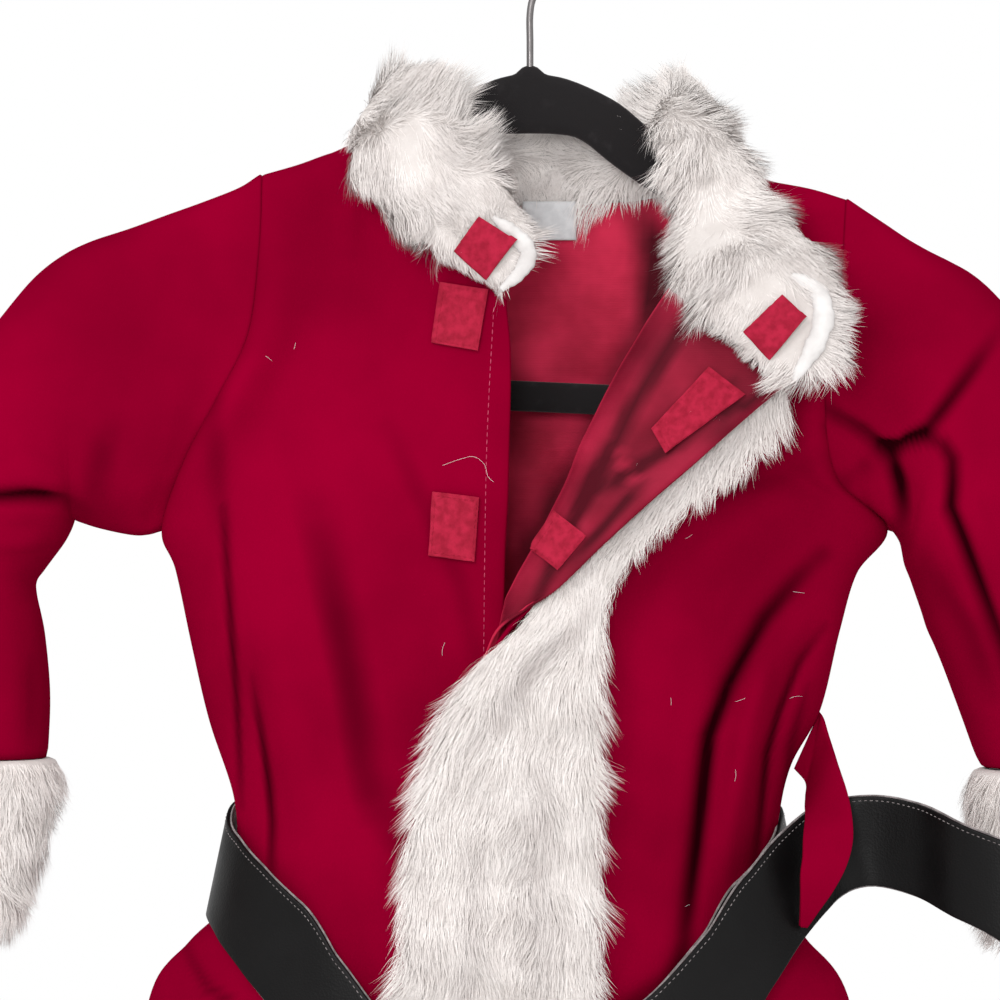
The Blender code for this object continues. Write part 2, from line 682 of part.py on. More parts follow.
def strand(name, rings, slot, closed=False):
    """Solid through a row of rings of points, capped at both ends unless it closes on itself."""
    rings = np.array(rings)
    rows, cols = rings.shape[:2]
    faces = []
    for r in range(rows if closed else rows - 1):
        s = (r + 1) % rows
        for c in range(cols):
            d = (c + 1) % cols
            q = (r * cols + c, r * cols + d, s * cols + d, s * cols + c)
            if c < cols // 2:
                faces += [(q[0], q[1], q[2]), (q[0], q[2], q[3])]
            else:
                faces += [(q[0], q[1], q[3]), (q[1], q[2], q[3])]
    if not closed:
        faces.append(tuple(range(cols - 1, -1, -1)))
        faces.append(tuple((rows - 1) * cols + c for c in range(cols)))
    return body(name, rings.reshape(-1, 3), faces, slot)


def pile_band(name, table, thick, slot, count, profile):
    """Fur band swept along rows of seam and free-edge points; its thickness given, or its table's last column."""
    rings = []
    fine = spline(table, np.linspace(0, len(table) - 1, count))
    seam, free = fine[:, :3], fine[:, 3:6]
    along = np.gradient(0.5 * (seam + free), axis=0)
    for i in range(count):
        across = free[i] - seam[i]
        n = np.cross(across, along[i])
        n /= np.linalg.norm(n)
        depth = fine[i, 6] if thick is None else thick
        rings.append([seam[i] + across * s + n * depth * h for s, h in profile])
    return strand(name, rings, slot)


def make_cloth():
    right = front_right_surface(FRONT_COLUMNS, ROWS)
    left = front_left_surface(FRONT_COLUMNS, ROWS)
    back = back_surface(BACK_COLUMNS, ROWS)
    sheet("front_right", right, CLOTH, "velvet")
    sheet("front_left", left, CLOTH, "velvet")
    sheet("back", back, CLOTH, "velvet")
    make_lining("front_left_lining", left, +1)
    make_lining("back_lining", back, -1)


def drawn_in(grid, clear):
    """A lining's grid, short of the panel's edges and below the hanger's arms at the shoulders."""
    grid = grid.copy()
    for c in range(grid.shape[1]):
        starts = [s for s in np.linspace(0.6, 2.6, 21) if abs(spline(grid[:, c], [s])[0, 1]) >= clear]
        start = starts[0] if starts else 2.6
        grid[:3, c] = spline(grid[:, c], start + (3 - start) * np.arange(3) / 3)
    grid[-1] += 0.2 * (grid[-2] - grid[-1])
    grid[:, 0] += 0.8 * (grid[:, 1] - grid[:, 0])
    return grid


def make_lining(name, grid, y_sign):
    """Satin inside a panel."""
    n = normals(grid, False) * side_of(grid, y_sign)
    near = CLOTH / 2 + LINING_EASE
    skins = [drawn_in(grid + n * reach, HANGER_WALL / 2 + LINING_ARM) for reach in (near, near + LINING)]
    for skin in skins:
        if y_sign > 0:
            skin[:, -1] += 0.2 * (skin[:, -2] - skin[:, -1])
        else:
            skin[:, -1] += 0.8 * (skin[:, -2] - skin[:, -1])
    points, faces = walls(skins[0], skins[1], False)
    body(name, points, faces, "satin")


def side_of(grid, y_sign):
    """Which way along the normals leads to the given y side, read near the panel's side seam."""
    n = normals(grid, False)
    mid = n[len(n) // 2, 2, 1]
    return 1.0 if mid * y_sign > 0 else -1.0


def make_sleeves():
    sheet("sleeve_right", sleeve_surface(SIDE_RIGHT, SLEEVE_RIGHT, -1), CLOTH, "velvet", wrap=True)
    sheet("sleeve_left", sleeve_surface(SIDE_LEFT, SLEEVE_LEFT, +1), CLOTH, "velvet", wrap=True)
    make_cuff("cuff_right", sleeve_surface(SIDE_RIGHT, SLEEVE_RIGHT, -1))
    make_cuff("cuff_left", sleeve_surface(SIDE_LEFT, SLEEVE_LEFT, +1))


def make_cuff(name, rings):
    end = rings[-1]
    centre = end.mean(axis=0)
    lean, narrow = CUFF_SWEEP[name]
    spread = end - centre
    unit = spread / np.linalg.norm(spread, axis=1)[:, None]
    inner, outer = [], []
    for share, pile, wall in CUFF:
        down = np.array([lean * share, 0.0, -CUFF_GAP[name] - CUFF_LENGTH * share])
        size = 1 - (1 - narrow) * share
        inner.append(centre + spread * size - unit * wall + down)
        outer.append(centre + spread * size + unit * pile + down)
    points, faces = walls(np.array(inner), np.array(outer), True)
    body(name, points, faces, "fur")


COLLAR_PROFILE = ((0.0, 0.0), (0.05, 0.20), (0.28, 0.42), (0.62, 0.5), (0.92, 0.40), (1.08, 0.0),
                  (0.92, -0.40), (0.62, -0.5), (0.28, -0.42), (0.05, -0.20))
BAND_PROFILE = ((-0.01, 0.0), (0.05, 0.42), (0.3, 0.5), (0.7, 0.5), (0.95, 0.42), (1.01, 0.0),
                (0.95, -0.42), (0.7, -0.5), (0.3, -0.5), (0.05, -0.42))


def make_fur():
    pile_band("collar", COLLAR, COLLAR_WALL, "fur", 36, COLLAR_PROFILE)
    pile_band("placket", PLACKET, None, "fur", 36, BAND_PROFILE)


def surface_of(names):
    """Search tree over built bodies."""
    points, faces = [], []
    for name in names:
        mesh = bpy.data.objects[name].data
        base = len(points)
        points += [v.co.copy() for v in mesh.vertices]
        faces += [tuple(base + k for k in p.vertices) for p in mesh.polygons]
    return BVHTree.FromPolygons(points, faces)


def make_pad(name, corners, under, wall, slot, ease=0.5):
    """Patch laid on what is under it, seen from the front."""
    tree = surface_of(under)
    steps = 4
    c = [np.array(k, float) for k in corners]
    grid = np.zeros((steps, steps, 3))
    for i in range(steps):
        for j in range(steps):
            s, t = i / (steps - 1), j / (steps - 1)
            p = (1 - s) * ((1 - t) * c[0] + t * c[1]) + s * ((1 - t) * c[3] + t * c[2])
            hit = tree.ray_cast(Vector((p[0] * MM, -0.3, p[1] * MM)), Vector((0, 1, 0)))
            grid[i, j] = (p[0], hit[0].y / MM if hit[0] else np.nan, p[1])
    level = grid[:, :, 1]
    level[np.isnan(level)] = np.nanmean(level)
    n = normals(grid, False)
    n *= np.where(n[:, :, 1:2] > 0, -1, 1)
    points, faces = walls(grid + n * (SEAM + ease), grid + n * (SEAM + ease + wall), False)
    body(name, points, faces, slot)


def make_pads():
    make_pad("loop_pad_upper", LOOP_PAD_UPPER, ["front_right"], PAD, "tape")
    make_pad("loop_pad_lower", LOOP_PAD_LOWER, ["front_right"], PAD, "tape")
    make_pad("hook_pad_upper", HOOK_PAD_UPPER, ["front_left_lining"], PAD, "tape")
    make_pad("hook_pad_lower", HOOK_PAD_LOWER, ["front_left_lining"], PAD, "tape")
    make_pad("collar_pad_right", COLLAR_PAD_RIGHT, ["collar"], PAD, "tape", ease=1.2)
    make_pad("collar_pad_left", COLLAR_PAD_LEFT, ["collar"], PAD, "tape", ease=0.6)
    grid = np.array([[(LABEL_X + half * s, y, z) for s in (-1, 0, 1)] for half, y, z in LABEL_ROWS])
    sheet("label", grid, LABEL, "label")


def make_belt():
    """Strip whose cross lines stand upright, as on a belt wrapped round a body."""
    path = even(BELT, 76)
    along = np.gradient(path, axis=0)
    rings = []
    previous = None
    for p, t in zip(path, along):
        level = np.hypot(t[0], t[1])
        outside = np.array([t[1], -t[0], 0.0]) / level
        if previous is None:
            outside *= np.sign(np.dot(outside, p))
        elif np.dot(outside, previous) < 0:
            outside = -outside
        previous = outside
        lean = math.radians(BELT_LEAN) * min(1.0, max(0.0, (BELT_FREE - p[0]) / BELT_EASE))
        up = np.array([0, 0, math.cos(lean)]) - outside * math.sin(lean)
        n = np.cross(up, t)
        n *= BELT_WALL / 2 / np.linalg.norm(n)
        h = up * BELT_HEIGHT / 2 * math.hypot(1.0, t[2] / level)
        e = up * BELT_EDGE
        rings.append([p + h + n * 0.6, p + h - e + n, p - h + e + n, p - h + n * 0.6,
                      p - h - n * 0.6, p - h + e - n, p + h - e - n, p + h - n * 0.6])
    strand("belt", rings, "vinyl")


def make_loop():
    fine = spline(LOOP, np.linspace(0, len(LOOP) - 1, 22))
    inner, outer = fine[:, :3], fine[:, 3:]
    grid = np.stack([inner, 0.5 * (inner + outer), outer], axis=1)
    sheet("belt_loop", grid, LOOP_WALL, "velvet")


def make_buckle():
    """Plain open frame standing on the belt's front."""
    width, height, bar, thick = BUCKLE
    centre = np.array(BUCKLE_CENTRE)
    rings = []
    for x, z in ((-1, -1), (0, -1), (1, -1), (1, 0), (1, 1), (0, 1), (-1, 1), (-1, 0)):
        o = centre + np.array([x * width / 2, 0, z * height / 2])
        i = centre + np.array([x * (width / 2 - bar), 0, z * (height / 2 - bar)])
        d = np.array([0, thick / 2, 0])
        rings.append([o - d, o + d, i + d, i - d])
    strand("buckle", rings, "buckle_metal", closed=True)


def make_hanger():
    rings = []
    half, edge = HANGER_WALL / 2, HANGER_EDGE
    for ox, oz, ix, iz in HANGER:
        o, i = np.array([ox, 0, oz], float), np.array([ix, 0, iz], float)
        d = (i - o) / np.linalg.norm(i - o)
        y = np.array([0, 1.0, 0])
        rings.append([o + d * edge - y * half, o - y * (half - edge), o + y * (half - edge), o + d * edge + y * half,
                      i - d * edge + y * half, i + y * (half - edge), i - y * (half - edge), i - d * edge - y * half])
    strand("hanger_body", rings, "flocked_plastic", closed=True)
    path = even(HOOK, 40)
    along = np.gradient(path, axis=0)
    along /= np.linalg.norm(along, axis=1)[:, None]
    rings = []
    for (x, z), (tx, tz) in zip(path, along):
        side = np.array([-tz, 0, tx])
        deep = np.array([0, 1.0, 0])
        rings.append([np.array([x, 0, z]) + WIRE / 2 * (math.cos(a) * side + math.sin(a) * deep)
                      for a in (math.pi * k / 4 for k in range(8))])
    strand("hanger_hook", rings, "wire")


clear_scene()
make_cloth()
make_sleeves()
make_fur()
make_pads()
make_belt()
make_loop()
make_buckle()
make_hanger()
for obj in bpy.data.objects:
    tris = sum(len(p.vertices) - 2 for p in obj.data.polygons)
    print(obj.name, tris)
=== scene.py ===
# %% [markdown]
# # A child's fur-trimmed red jacket on a slim hanger
# The jacket is pile cloth: a back, two fronts and two sleeves, lined with satin. Long white fur
# makes the collar, the front band and the cuffs. A vinyl belt goes round it, and a flocked
# hanger holds it up. Each step below says what a piece is on the real jacket, then makes it.
# Tables are in millimetres: x to the viewer's right, y away from the viewer, z up.

# %% Load the frame
import math

import bmesh
import bpy
import numpy as np
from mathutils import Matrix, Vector, kdtree
from mathutils.bvhtree import BVHTree


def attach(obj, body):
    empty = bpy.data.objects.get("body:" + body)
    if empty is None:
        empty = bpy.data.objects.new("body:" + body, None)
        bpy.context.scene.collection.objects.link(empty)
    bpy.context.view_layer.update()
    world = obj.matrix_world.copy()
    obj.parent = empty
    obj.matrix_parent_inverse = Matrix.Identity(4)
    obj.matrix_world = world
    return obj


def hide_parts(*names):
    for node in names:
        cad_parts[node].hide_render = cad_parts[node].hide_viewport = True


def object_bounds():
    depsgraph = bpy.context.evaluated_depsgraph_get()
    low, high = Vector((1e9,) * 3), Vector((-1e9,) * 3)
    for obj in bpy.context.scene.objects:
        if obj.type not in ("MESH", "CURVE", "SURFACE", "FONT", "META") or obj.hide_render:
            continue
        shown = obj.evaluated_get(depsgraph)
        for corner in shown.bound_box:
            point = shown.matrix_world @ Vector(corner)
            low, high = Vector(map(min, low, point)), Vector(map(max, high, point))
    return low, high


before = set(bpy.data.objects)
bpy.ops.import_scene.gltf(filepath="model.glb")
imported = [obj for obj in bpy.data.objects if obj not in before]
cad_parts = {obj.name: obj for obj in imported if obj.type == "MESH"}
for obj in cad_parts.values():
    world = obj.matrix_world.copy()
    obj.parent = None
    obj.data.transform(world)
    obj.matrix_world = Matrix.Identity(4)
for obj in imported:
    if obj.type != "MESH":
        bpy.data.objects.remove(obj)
CAD_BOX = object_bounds()
MM = 0.001
print("solids in the frame:", len(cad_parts))

# %% [markdown]
# The camera looks straight at the jacket from its front, level with the chest. It could stand
# close with a wide lens, but that would bend the sleeves outwards. A long lens from 1.8 m keeps
# the jacket's sides nearly parallel, so its cut shows true.

# %% Camera
STAND_OFF = 1.8
VIEW_WIDTH = 0.430
VIEW_CENTRE = (-0.0129, -0.267)
SENSOR = 36.0
camera_data = bpy.data.cameras.new("camera")
camera_data.sensor_width = SENSOR
camera_data.lens = SENSOR * STAND_OFF / VIEW_WIDTH
camera = bpy.data.objects.new("camera", camera_data)
camera.location = (VIEW_CENTRE[0], -STAND_OFF, VIEW_CENTRE[1])
camera.rotation_euler = (math.radians(90), 0, 0)
bpy.context.collection.objects.link(camera)
bpy.context.scene.camera = camera
print("lens", round(camera_data.lens, 1), "mm")

# %% [markdown]
# Pile cloth and fur show their depth only in soft light, so no lamp here is small. There is a
# white surround, one broad key from the upper left of the viewer, a lamp beside the camera that
# reaches into the open front, and a weak fill from the right. The surround shows as a plain
# white ground, and a pale floor lies well below the hem.

# %% Light and floor
KEY_POWER = 20.0
FRONT_POWER = 15.0
FILL_POWER = 3.0
SURROUND = 1.0
AIM = (0, 0, -0.3)
FLOOR = 2.2
FLOOR_DROP = 0.12


def area_light(name, place, size, power):
    """A round lamp at a place, turned to the middle of the jacket."""
    data = bpy.data.lights.new(name, "AREA")
    data.shape = "DISK"
    data.size = size
    data.energy = power
    lamp = bpy.data.objects.new(name, data)
    lamp.location = place
    way = Vector(AIM) - Vector(place)
    lamp.rotation_euler = way.to_track_quat("-Z", "Y").to_euler()
    bpy.context.collection.objects.link(lamp)


area_light("key", (-0.9, -1.7, 0.9), 0.9, KEY_POWER)
area_light("front", (-0.25, -2.1, 0.0), 0.5, FRONT_POWER)
area_light("fill", (1.5, -1.4, -0.1), 1.2, FILL_POWER)
world = bpy.data.worlds.new("surround")
world.use_nodes = True
sky = world.node_tree.nodes["Background"]
sky.inputs["Color"].default_value = (1, 1, 1, 1)
sky.inputs["Strength"].default_value = SURROUND
bpy.context.scene.world = world
bpy.context.scene.view_settings.view_transform = "Standard"

floor_mesh = bpy.data.meshes.new("floor")
floor_z = CAD_BOX[0][2] - FLOOR_DROP
floor_mesh.from_pydata([(-FLOOR, -FLOOR, floor_z), (FLOOR, -FLOOR, floor_z),
                        (FLOOR, FLOOR, floor_z), (-FLOOR, FLOOR, floor_z)], [], [(0, 1, 2, 3)])
floor = bpy.data.objects.new("floor", floor_mesh)
bpy.context.collection.objects.link(floor)
print("floor at", round(floor_z, 3), "m")

# %% [markdown]
# ## Materials
# Every finish starts from one small helper that makes a material with its shader in place.
# Numbers that are the same all over a surface go straight on the shader's own sockets.

# %% Material helpers
def add(tree, kind, place, **settings):
    """A node at a place in the tree, with its settings; sockets by their names."""
    made = tree.nodes.new(kind)
    made.location = place
    for name, value in settings.items():
        if hasattr(made, name):
            setattr(made, name, value)
        else:
            made.inputs[name.replace("_", " ")].default_value = value
    return made


def new_material(name, colour, roughness, **sockets):
    made = bpy.data.materials.new(name)
    made.use_nodes = True
    shader = made.node_tree.nodes["Principled BSDF"]
    shader.inputs["Base Color"].default_value = (*colour, 1)
    shader.inputs["Roughness"].default_value = roughness
    for socket, value in sockets.items():
        shader.inputs[socket.replace("_", " ")].default_value = value
    made.diffuse_color = (*colour, 1)
    return made, made.node_tree, shader


def object_space(tree):
    return add(tree, "ShaderNodeTexCoord", (-1200, 0)).outputs["Object"]


def texture(tree, kind, where, space, **settings):
    """A texture node that lies in a space."""
    made = add(tree, kind, where, **settings)
    tree.links.new(space, made.inputs["Vector"])
    return made


print("each finish starts as one shader, and its patterns lie in the object's own space")

# %% [markdown]
# Cloth is never one flat tone: pile is brushed one way here and another there, and satin
# creases. Each material could hold its own noise, but the effect is the same in all of them.
# So one group gives that cloudy unevenness, and every finish uses it at its own size.

# %% Group: clouds
def group(name, inputs, outputs):
    """An empty group with its sockets, its entry and its exit."""
    tree = bpy.data.node_groups.new(name, "ShaderNodeTree")
    for label, kind, value in inputs:
        socket = tree.interface.new_socket(label, in_out="INPUT", socket_type=kind)
        if value is not None:
            socket.default_value = value
    for label, kind in outputs:
        tree.interface.new_socket(label, in_out="OUTPUT", socket_type=kind)
    entry = tree.nodes.new("NodeGroupInput")
    entry.location = (-900, 0)
    leave = tree.nodes.new("NodeGroupOutput")
    leave.location = (600, 0)
    return tree, entry, leave


def make_clouds():
    """Soft mask from a noise, stretched between a low and a high mark."""
    tree, entry, leave = group("Clouds", [
        ("Vector", "NodeSocketVector", None), ("Scale", "NodeSocketFloat", 20.0),
        ("Low", "NodeSocketFloat", 0.35), ("High", "NodeSocketFloat", 0.65),
    ], [("Mask", "NodeSocketFloat")])
    noise = add(tree, "ShaderNodeTexNoise", (-600, 0), Detail=3.0, Roughness=0.55)
    spread = add(tree, "ShaderNodeMapRange", (-200, 0), interpolation_type="SMOOTHSTEP")
    tree.links.new(entry.outputs["Vector"], noise.inputs["Vector"])
    tree.links.new(entry.outputs["Scale"], noise.inputs["Scale"])
    tree.links.new(noise.outputs["Fac"], spread.inputs["Value"])
    tree.links.new(entry.outputs["Low"], spread.inputs["From Min"])
    tree.links.new(entry.outputs["High"], spread.inputs["From Max"])
    tree.links.new(spread.outputs["Result"], leave.inputs["Mask"])
    return tree


CLOUDS = make_clouds()
print("group", CLOUDS.name, "has", len(CLOUDS.nodes), "nodes")

# %% [markdown]
# Satin, tape, label and the belt's backing are woven, with threads far too fine to model. A
# second group makes crossed threads as a height, from two wave patterns, so each cloth only
# states how fine its threads are.

# %% Group: threads
def make_threads():
    """Height of crossed threads over a surface seen from the front."""
    tree, entry, leave = group("Threads", [
        ("Vector", "NodeSocketVector", None), ("Across", "NodeSocketFloat", 1200.0),
        ("Along", "NodeSocketFloat", 1200.0),
    ], [("Height", "NodeSocketFloat")])
    across = add(tree, "ShaderNodeTexWave", (-600, 200), wave_type="BANDS", bands_direction="X",
                 Distortion=0.6, Detail=1.0)
    along = add(tree, "ShaderNodeTexWave", (-600, -200), wave_type="BANDS", bands_direction="Z",
                Distortion=0.6, Detail=1.0)
    both = add(tree, "ShaderNodeMath", (-200, 0), operation="MULTIPLY")
    for wave, label in ((across, "Across"), (along, "Along")):
        tree.links.new(entry.outputs["Vector"], wave.inputs["Vector"])
        tree.links.new(entry.outputs[label], wave.inputs["Scale"])
    tree.links.new(across.outputs["Fac"], both.inputs[0])
    tree.links.new(along.outputs["Fac"], both.inputs[1])
    tree.links.new(both.outputs["Value"], leave.inputs["Height"])
    return tree


THREADS = make_threads()
print("group", THREADS.name, "has", len(THREADS.nodes), "nodes")


def place_group(tree, which, where, space, **values):
    """A group's node in a material, with its values, lying in a space."""
    made = tree.nodes.new("ShaderNodeGroup")
    made.node_tree = which
    made.location = where
    for name, value in values.items():
        made.inputs[name].default_value = value
    tree.links.new(space, made.inputs["Vector"])
    return made.outputs[0]


def two_tones(tree, mask, dark, bright, where):
    """Colour between two tones by a mask."""
    mix = add(tree, "ShaderNodeMix", where, data_type="RGBA")
    mix.inputs["A"].default_value = (*dark, 1)
    mix.inputs["B"].default_value = (*bright, 1)
    tree.links.new(mask, mix.inputs["Factor"])
    return mix.outputs["Result"]


def bump(tree, height, shader, strength, distance):
    """Lets a height bend the surface's normal."""
    made = add(tree, "ShaderNodeBump", (-300, -300), Strength=strength, Distance=distance)
    tree.links.new(height, made.inputs["Height"])
    tree.links.new(made.outputs["Normal"], shader.inputs["Normal"])


# %% [markdown]
# Velvet keeps its light at the rims, where the pile is seen edge-on, and drinks it face-on.
# Millions of hairs would make it slow, so the shader's sheen does the rim instead. Broad clouds
# brush the pile lighter and darker, and grain as fine as the pile itself breaks the surface.
# Deep in a crease almost no light comes back, so each cloth carries its own map of painted shade.

# %% Velvet
VELVET_DARK = (0.156, 0.0, 0.0125)
VELVET_BRIGHT = (0.212, 0.0, 0.0170)
VELVET_PAINTED_SHADE = (0.014, 0.0, 0.0016)


def clouded_colour(tree, shader, mask, dark, bright, painted_shade=None):
    """Base colour from two tones by a mask. Where a cloth carries painted shade it darkens the
    colour towards a shade tone: its creases set that value at every point."""
    tone = two_tones(tree, mask, dark, bright, (-600, 300))
    if painted_shade:
        depth = add(tree, "ShaderNodeAttribute", (-600, 550), attribute_name="painted_shade")
        mix = add(tree, "ShaderNodeMix", (-350, 550), data_type="RGBA")
        mix.inputs["B"].default_value = (*painted_shade, 1)
        tree.links.new(tone, mix.inputs["A"])
        tree.links.new(depth.outputs["Fac"], mix.inputs["Factor"])
        tone = mix.outputs["Result"]
    tree.links.new(tone, shader.inputs["Base Color"])


def make_velvet():
    made, tree, shader = new_material("velvet_pile", VELVET_BRIGHT, 0.8, Sheen_Weight=0.06,
                                      Sheen_Roughness=0.3, Sheen_Tint=(0.9, 0.0, 0.08, 1),
                                      Specular_IOR_Level=0.0)
    space = object_space(tree)
    brushed = place_group(tree, CLOUDS, (-900, 300), space, Scale=13.0, Low=0.25, High=0.75)
    clouded_colour(tree, shader, brushed, VELVET_DARK, VELVET_BRIGHT, VELVET_PAINTED_SHADE)
    grain = texture(tree, "ShaderNodeTexNoise", (-800, -300), space, Scale=1500.0, Detail=3.0,
                    Roughness=0.7)
    bump(tree, grain.outputs["Fac"], shader, 0.35, 0.0006)
    return made


VELVET = make_velvet()
print(VELVET.name, "has", len(VELVET.node_tree.nodes), "nodes")

# %% [markdown]
# The lining is thin satin. It has a close horizontal weave, a soft gloss, and small creases.
# Modelling those would need far more points than the large ones do, so a noise drawn out along
# the jacket's width bends the satin's normal as well.

# %% Satin
SATIN_DARK = (0.33, 0.010, 0.034)
SATIN_BRIGHT = (0.60, 0.024, 0.074)
SATIN_PAINTED_SHADE = (0.055, 0.0012, 0.006)


def make_satin():
    made, tree, shader = new_material("satin_lining", SATIN_BRIGHT, 0.5, Specular_IOR_Level=0.05,
                                      Sheen_Weight=0.02, Sheen_Roughness=0.4,
                                      Sheen_Tint=(0.9, 0.1, 0.15, 1))
    space = object_space(tree)
    patchy = place_group(tree, CLOUDS, (-800, 300), space, Scale=30.0, Low=0.25, High=0.75)
    clouded_colour(tree, shader, patchy, SATIN_DARK, SATIN_BRIGHT, SATIN_PAINTED_SHADE)
    threads = place_group(tree, THREADS, (-800, -200), space, Across=900.0, Along=420.0)
    stretch = texture(tree, "ShaderNodeMapping", (-1000, -500), space, Scale=(14.0, 14.0, 90.0))
    creases = texture(tree, "ShaderNodeTexNoise", (-800, -500), stretch.outputs["Vector"],
                      Scale=1.0, Detail=2.0)
    fine = add(tree, "ShaderNodeBump", (-500, -200), Strength=0.25, Distance=0.0003)
    tree.links.new(threads, fine.inputs["Height"])
    broad = add(tree, "ShaderNodeBump", (-300, -400), Strength=0.5, Distance=0.002)
    tree.links.new(creases.outputs["Fac"], broad.inputs["Height"])
    tree.links.new(fine.outputs["Normal"], broad.inputs["Normal"])
    tree.links.new(broad.outputs["Normal"], shader.inputs["Normal"])
    return made


SATIN = make_satin()
print(SATIN.name, "has", len(SATIN.node_tree.nodes), "nodes")

# %% [markdown]
# Fur is tens of thousands of fine strands over a knitted ground. Bump on a smooth band would
# never give its ragged outline, so each strand is real geometry. Then the finish only has to be
# pale, a little warm, matt, and cloudy from tuft to tuft.

# %% Fur
FUR_SHADE = (0.73, 0.68, 0.655)
FUR_LIGHT = (0.83, 0.785, 0.76)
FUR_PAINTED_SHADE = (0.36, 0.31, 0.30)


def make_fur_finish(name, dark, bright, grain):
    made, tree, shader = new_material(name, bright, 0.8, Sheen_Weight=0.12, Sheen_Roughness=0.5,
                                      Specular_IOR_Level=0.08)
    space = object_space(tree)
    tufts = place_group(tree, CLOUDS, (-800, 300), space, Scale=90.0, Low=0.3, High=0.7)
    clouded_colour(tree, shader, tufts, dark, bright, FUR_PAINTED_SHADE)
    fine = texture(tree, "ShaderNodeTexNoise", (-800, -300), space, Scale=grain, Detail=2.0)
    bump(tree, fine.outputs["Fac"], shader, 0.4, 0.001)
    return made


FUR = make_fur_finish("fur_strands", FUR_SHADE, FUR_LIGHT, 700.0)
FUR_GROUND = make_fur_finish("fur_ground", (0.50, 0.46, 0.44), (0.56, 0.52, 0.50), 500.0)
TURNED_EDGE = make_fur_finish("fur_turned_edge", (0.50, 0.475, 0.465), (0.60, 0.58, 0.57), 260.0)
print("fur finishes:", FUR.name, FUR_GROUND.name, TURNED_EDGE.name)

# %% [markdown]
# Four small things are woven: fuzzy loop tape, a blank label, sewing thread, and the cloth on
# the belt's back. They differ only in colour and in how fine and deep their threads are, so one
# helper makes all four.

# %% Tape, label, thread, backing
def make_woven(name, dark, bright, roughness, scale, depth, fuzz):
    made, tree, shader = new_material(name, bright, roughness, Sheen_Weight=fuzz,
                                      Sheen_Roughness=0.4, Sheen_Tint=(*bright, 1),
                                      Specular_IOR_Level=0.1)
    space = object_space(tree)
    patchy = place_group(tree, CLOUDS, (-800, 300), space, Scale=260.0, Low=0.3, High=0.7)
    clouded_colour(tree, shader, patchy, dark, bright)
    threads = place_group(tree, THREADS, (-800, -200), space, Across=scale, Along=scale)
    bump(tree, threads, shader, 0.6, depth)
    return made


TAPE = make_woven("loop_tape", (0.27, 0.008, 0.026), (0.40, 0.014, 0.044),
                  0.85, 700.0, 0.0006, 0.1)
LABEL_CLOTH = make_woven("blank_label", (0.62, 0.62, 0.63), (0.72, 0.72, 0.73),
                         0.5, 1500.0, 0.0002, 0.1)
THREAD = make_woven("sewing_thread", (0.40, 0.035, 0.09), (0.52, 0.07, 0.14),
                    0.5, 3000.0, 0.0001, 0.2)
BACKING = make_woven("belt_backing", (0.16, 0.14, 0.14), (0.34, 0.30, 0.30),
                     0.9, 1400.0, 0.0004, 0.3)
print("woven finishes:", TAPE.name, LABEL_CLOTH.name, THREAD.name, BACKING.name)

# %% [markdown]
# The belt's vinyl has a pebbled skin, which small cells raise. The hanger is coated in flock,
# short black fibres that are matt but catch light at the rims, so it is a cousin of velvet.
# Wire and buckle are plain metals whose gloss changes a little where hands have touched them.

# %% Vinyl, flock, metals
def uneven_gloss(tree, shader, mask, low, high):
    """Roughness between a low and a high value by a mask."""
    rough = add(tree, "ShaderNodeMapRange", (-400, 100))
    rough.inputs["To Min"].default_value = low
    rough.inputs["To Max"].default_value = high
    tree.links.new(mask, rough.inputs["Value"])
    tree.links.new(rough.outputs["Result"], shader.inputs["Roughness"])


def make_vinyl():
    made, tree, shader = new_material("belt_vinyl", (0.0025, 0.0022, 0.0023), 0.42,
                                      Specular_IOR_Level=0.13)
    space = object_space(tree)
    cells = texture(tree, "ShaderNodeTexVoronoi", (-800, -300), space, Scale=1100.0)
    bump(tree, cells.outputs["Distance"], shader, 0.25, 0.0003)
    scuffs = place_group(tree, CLOUDS, (-800, 200), space, Scale=40.0, Low=0.35, High=0.7)
    uneven_gloss(tree, shader, scuffs, 0.36, 0.52)
    return made


def make_flock():
    made, tree, shader = new_material("flock", (0.012, 0.0105, 0.011), 0.95, Sheen_Weight=0.35,
                                      Sheen_Roughness=0.5, Sheen_Tint=(0.5, 0.45, 0.46, 1),
                                      Specular_IOR_Level=0.1)
    space = object_space(tree)
    worn = place_group(tree, CLOUDS, (-800, 300), space, Scale=120.0, Low=0.55, High=0.8)
    clouded_colour(tree, shader, worn, (0.010, 0.009, 0.0095), (0.02, 0.018, 0.019))
    grain = texture(tree, "ShaderNodeTexNoise", (-800, -300), space, Scale=2200.0, Detail=2.0)
    bump(tree, grain.outputs["Fac"], shader, 0.4, 0.0004)
    return made


def make_metal(name, colour, roughness, scale):
    made, tree, shader = new_material(name, colour, roughness, Metallic=1.0)
    smears = place_group(tree, CLOUDS, (-800, 200), object_space(tree), Scale=scale, Low=0.3,
                         High=0.7)
    uneven_gloss(tree, shader, smears, roughness * 0.8, roughness * 1.3)
    return made


VINYL = make_vinyl()
FLOCK = make_flock()
WIRE_STEEL = make_metal("hook_wire", (0.16, 0.15, 0.15), 0.35, 300.0)
BUCKLE_BRASS = make_metal("buckle_metal", (0.62, 0.5, 0.28), 0.28, 120.0)
print("finishes:", len(bpy.data.materials))

# %% [markdown]
# ## Shapes
# A jacket could be sculpted, or draped by a simulation, but then its seams would wander off the
# solids that it stands for. So the cutter's lines are short tables of points. A smooth curve
# goes through each, and a cloth panel is the surface between its four edges, given depth and
# folds afterwards. These are the lines that shaped the solids, asked for far more points.

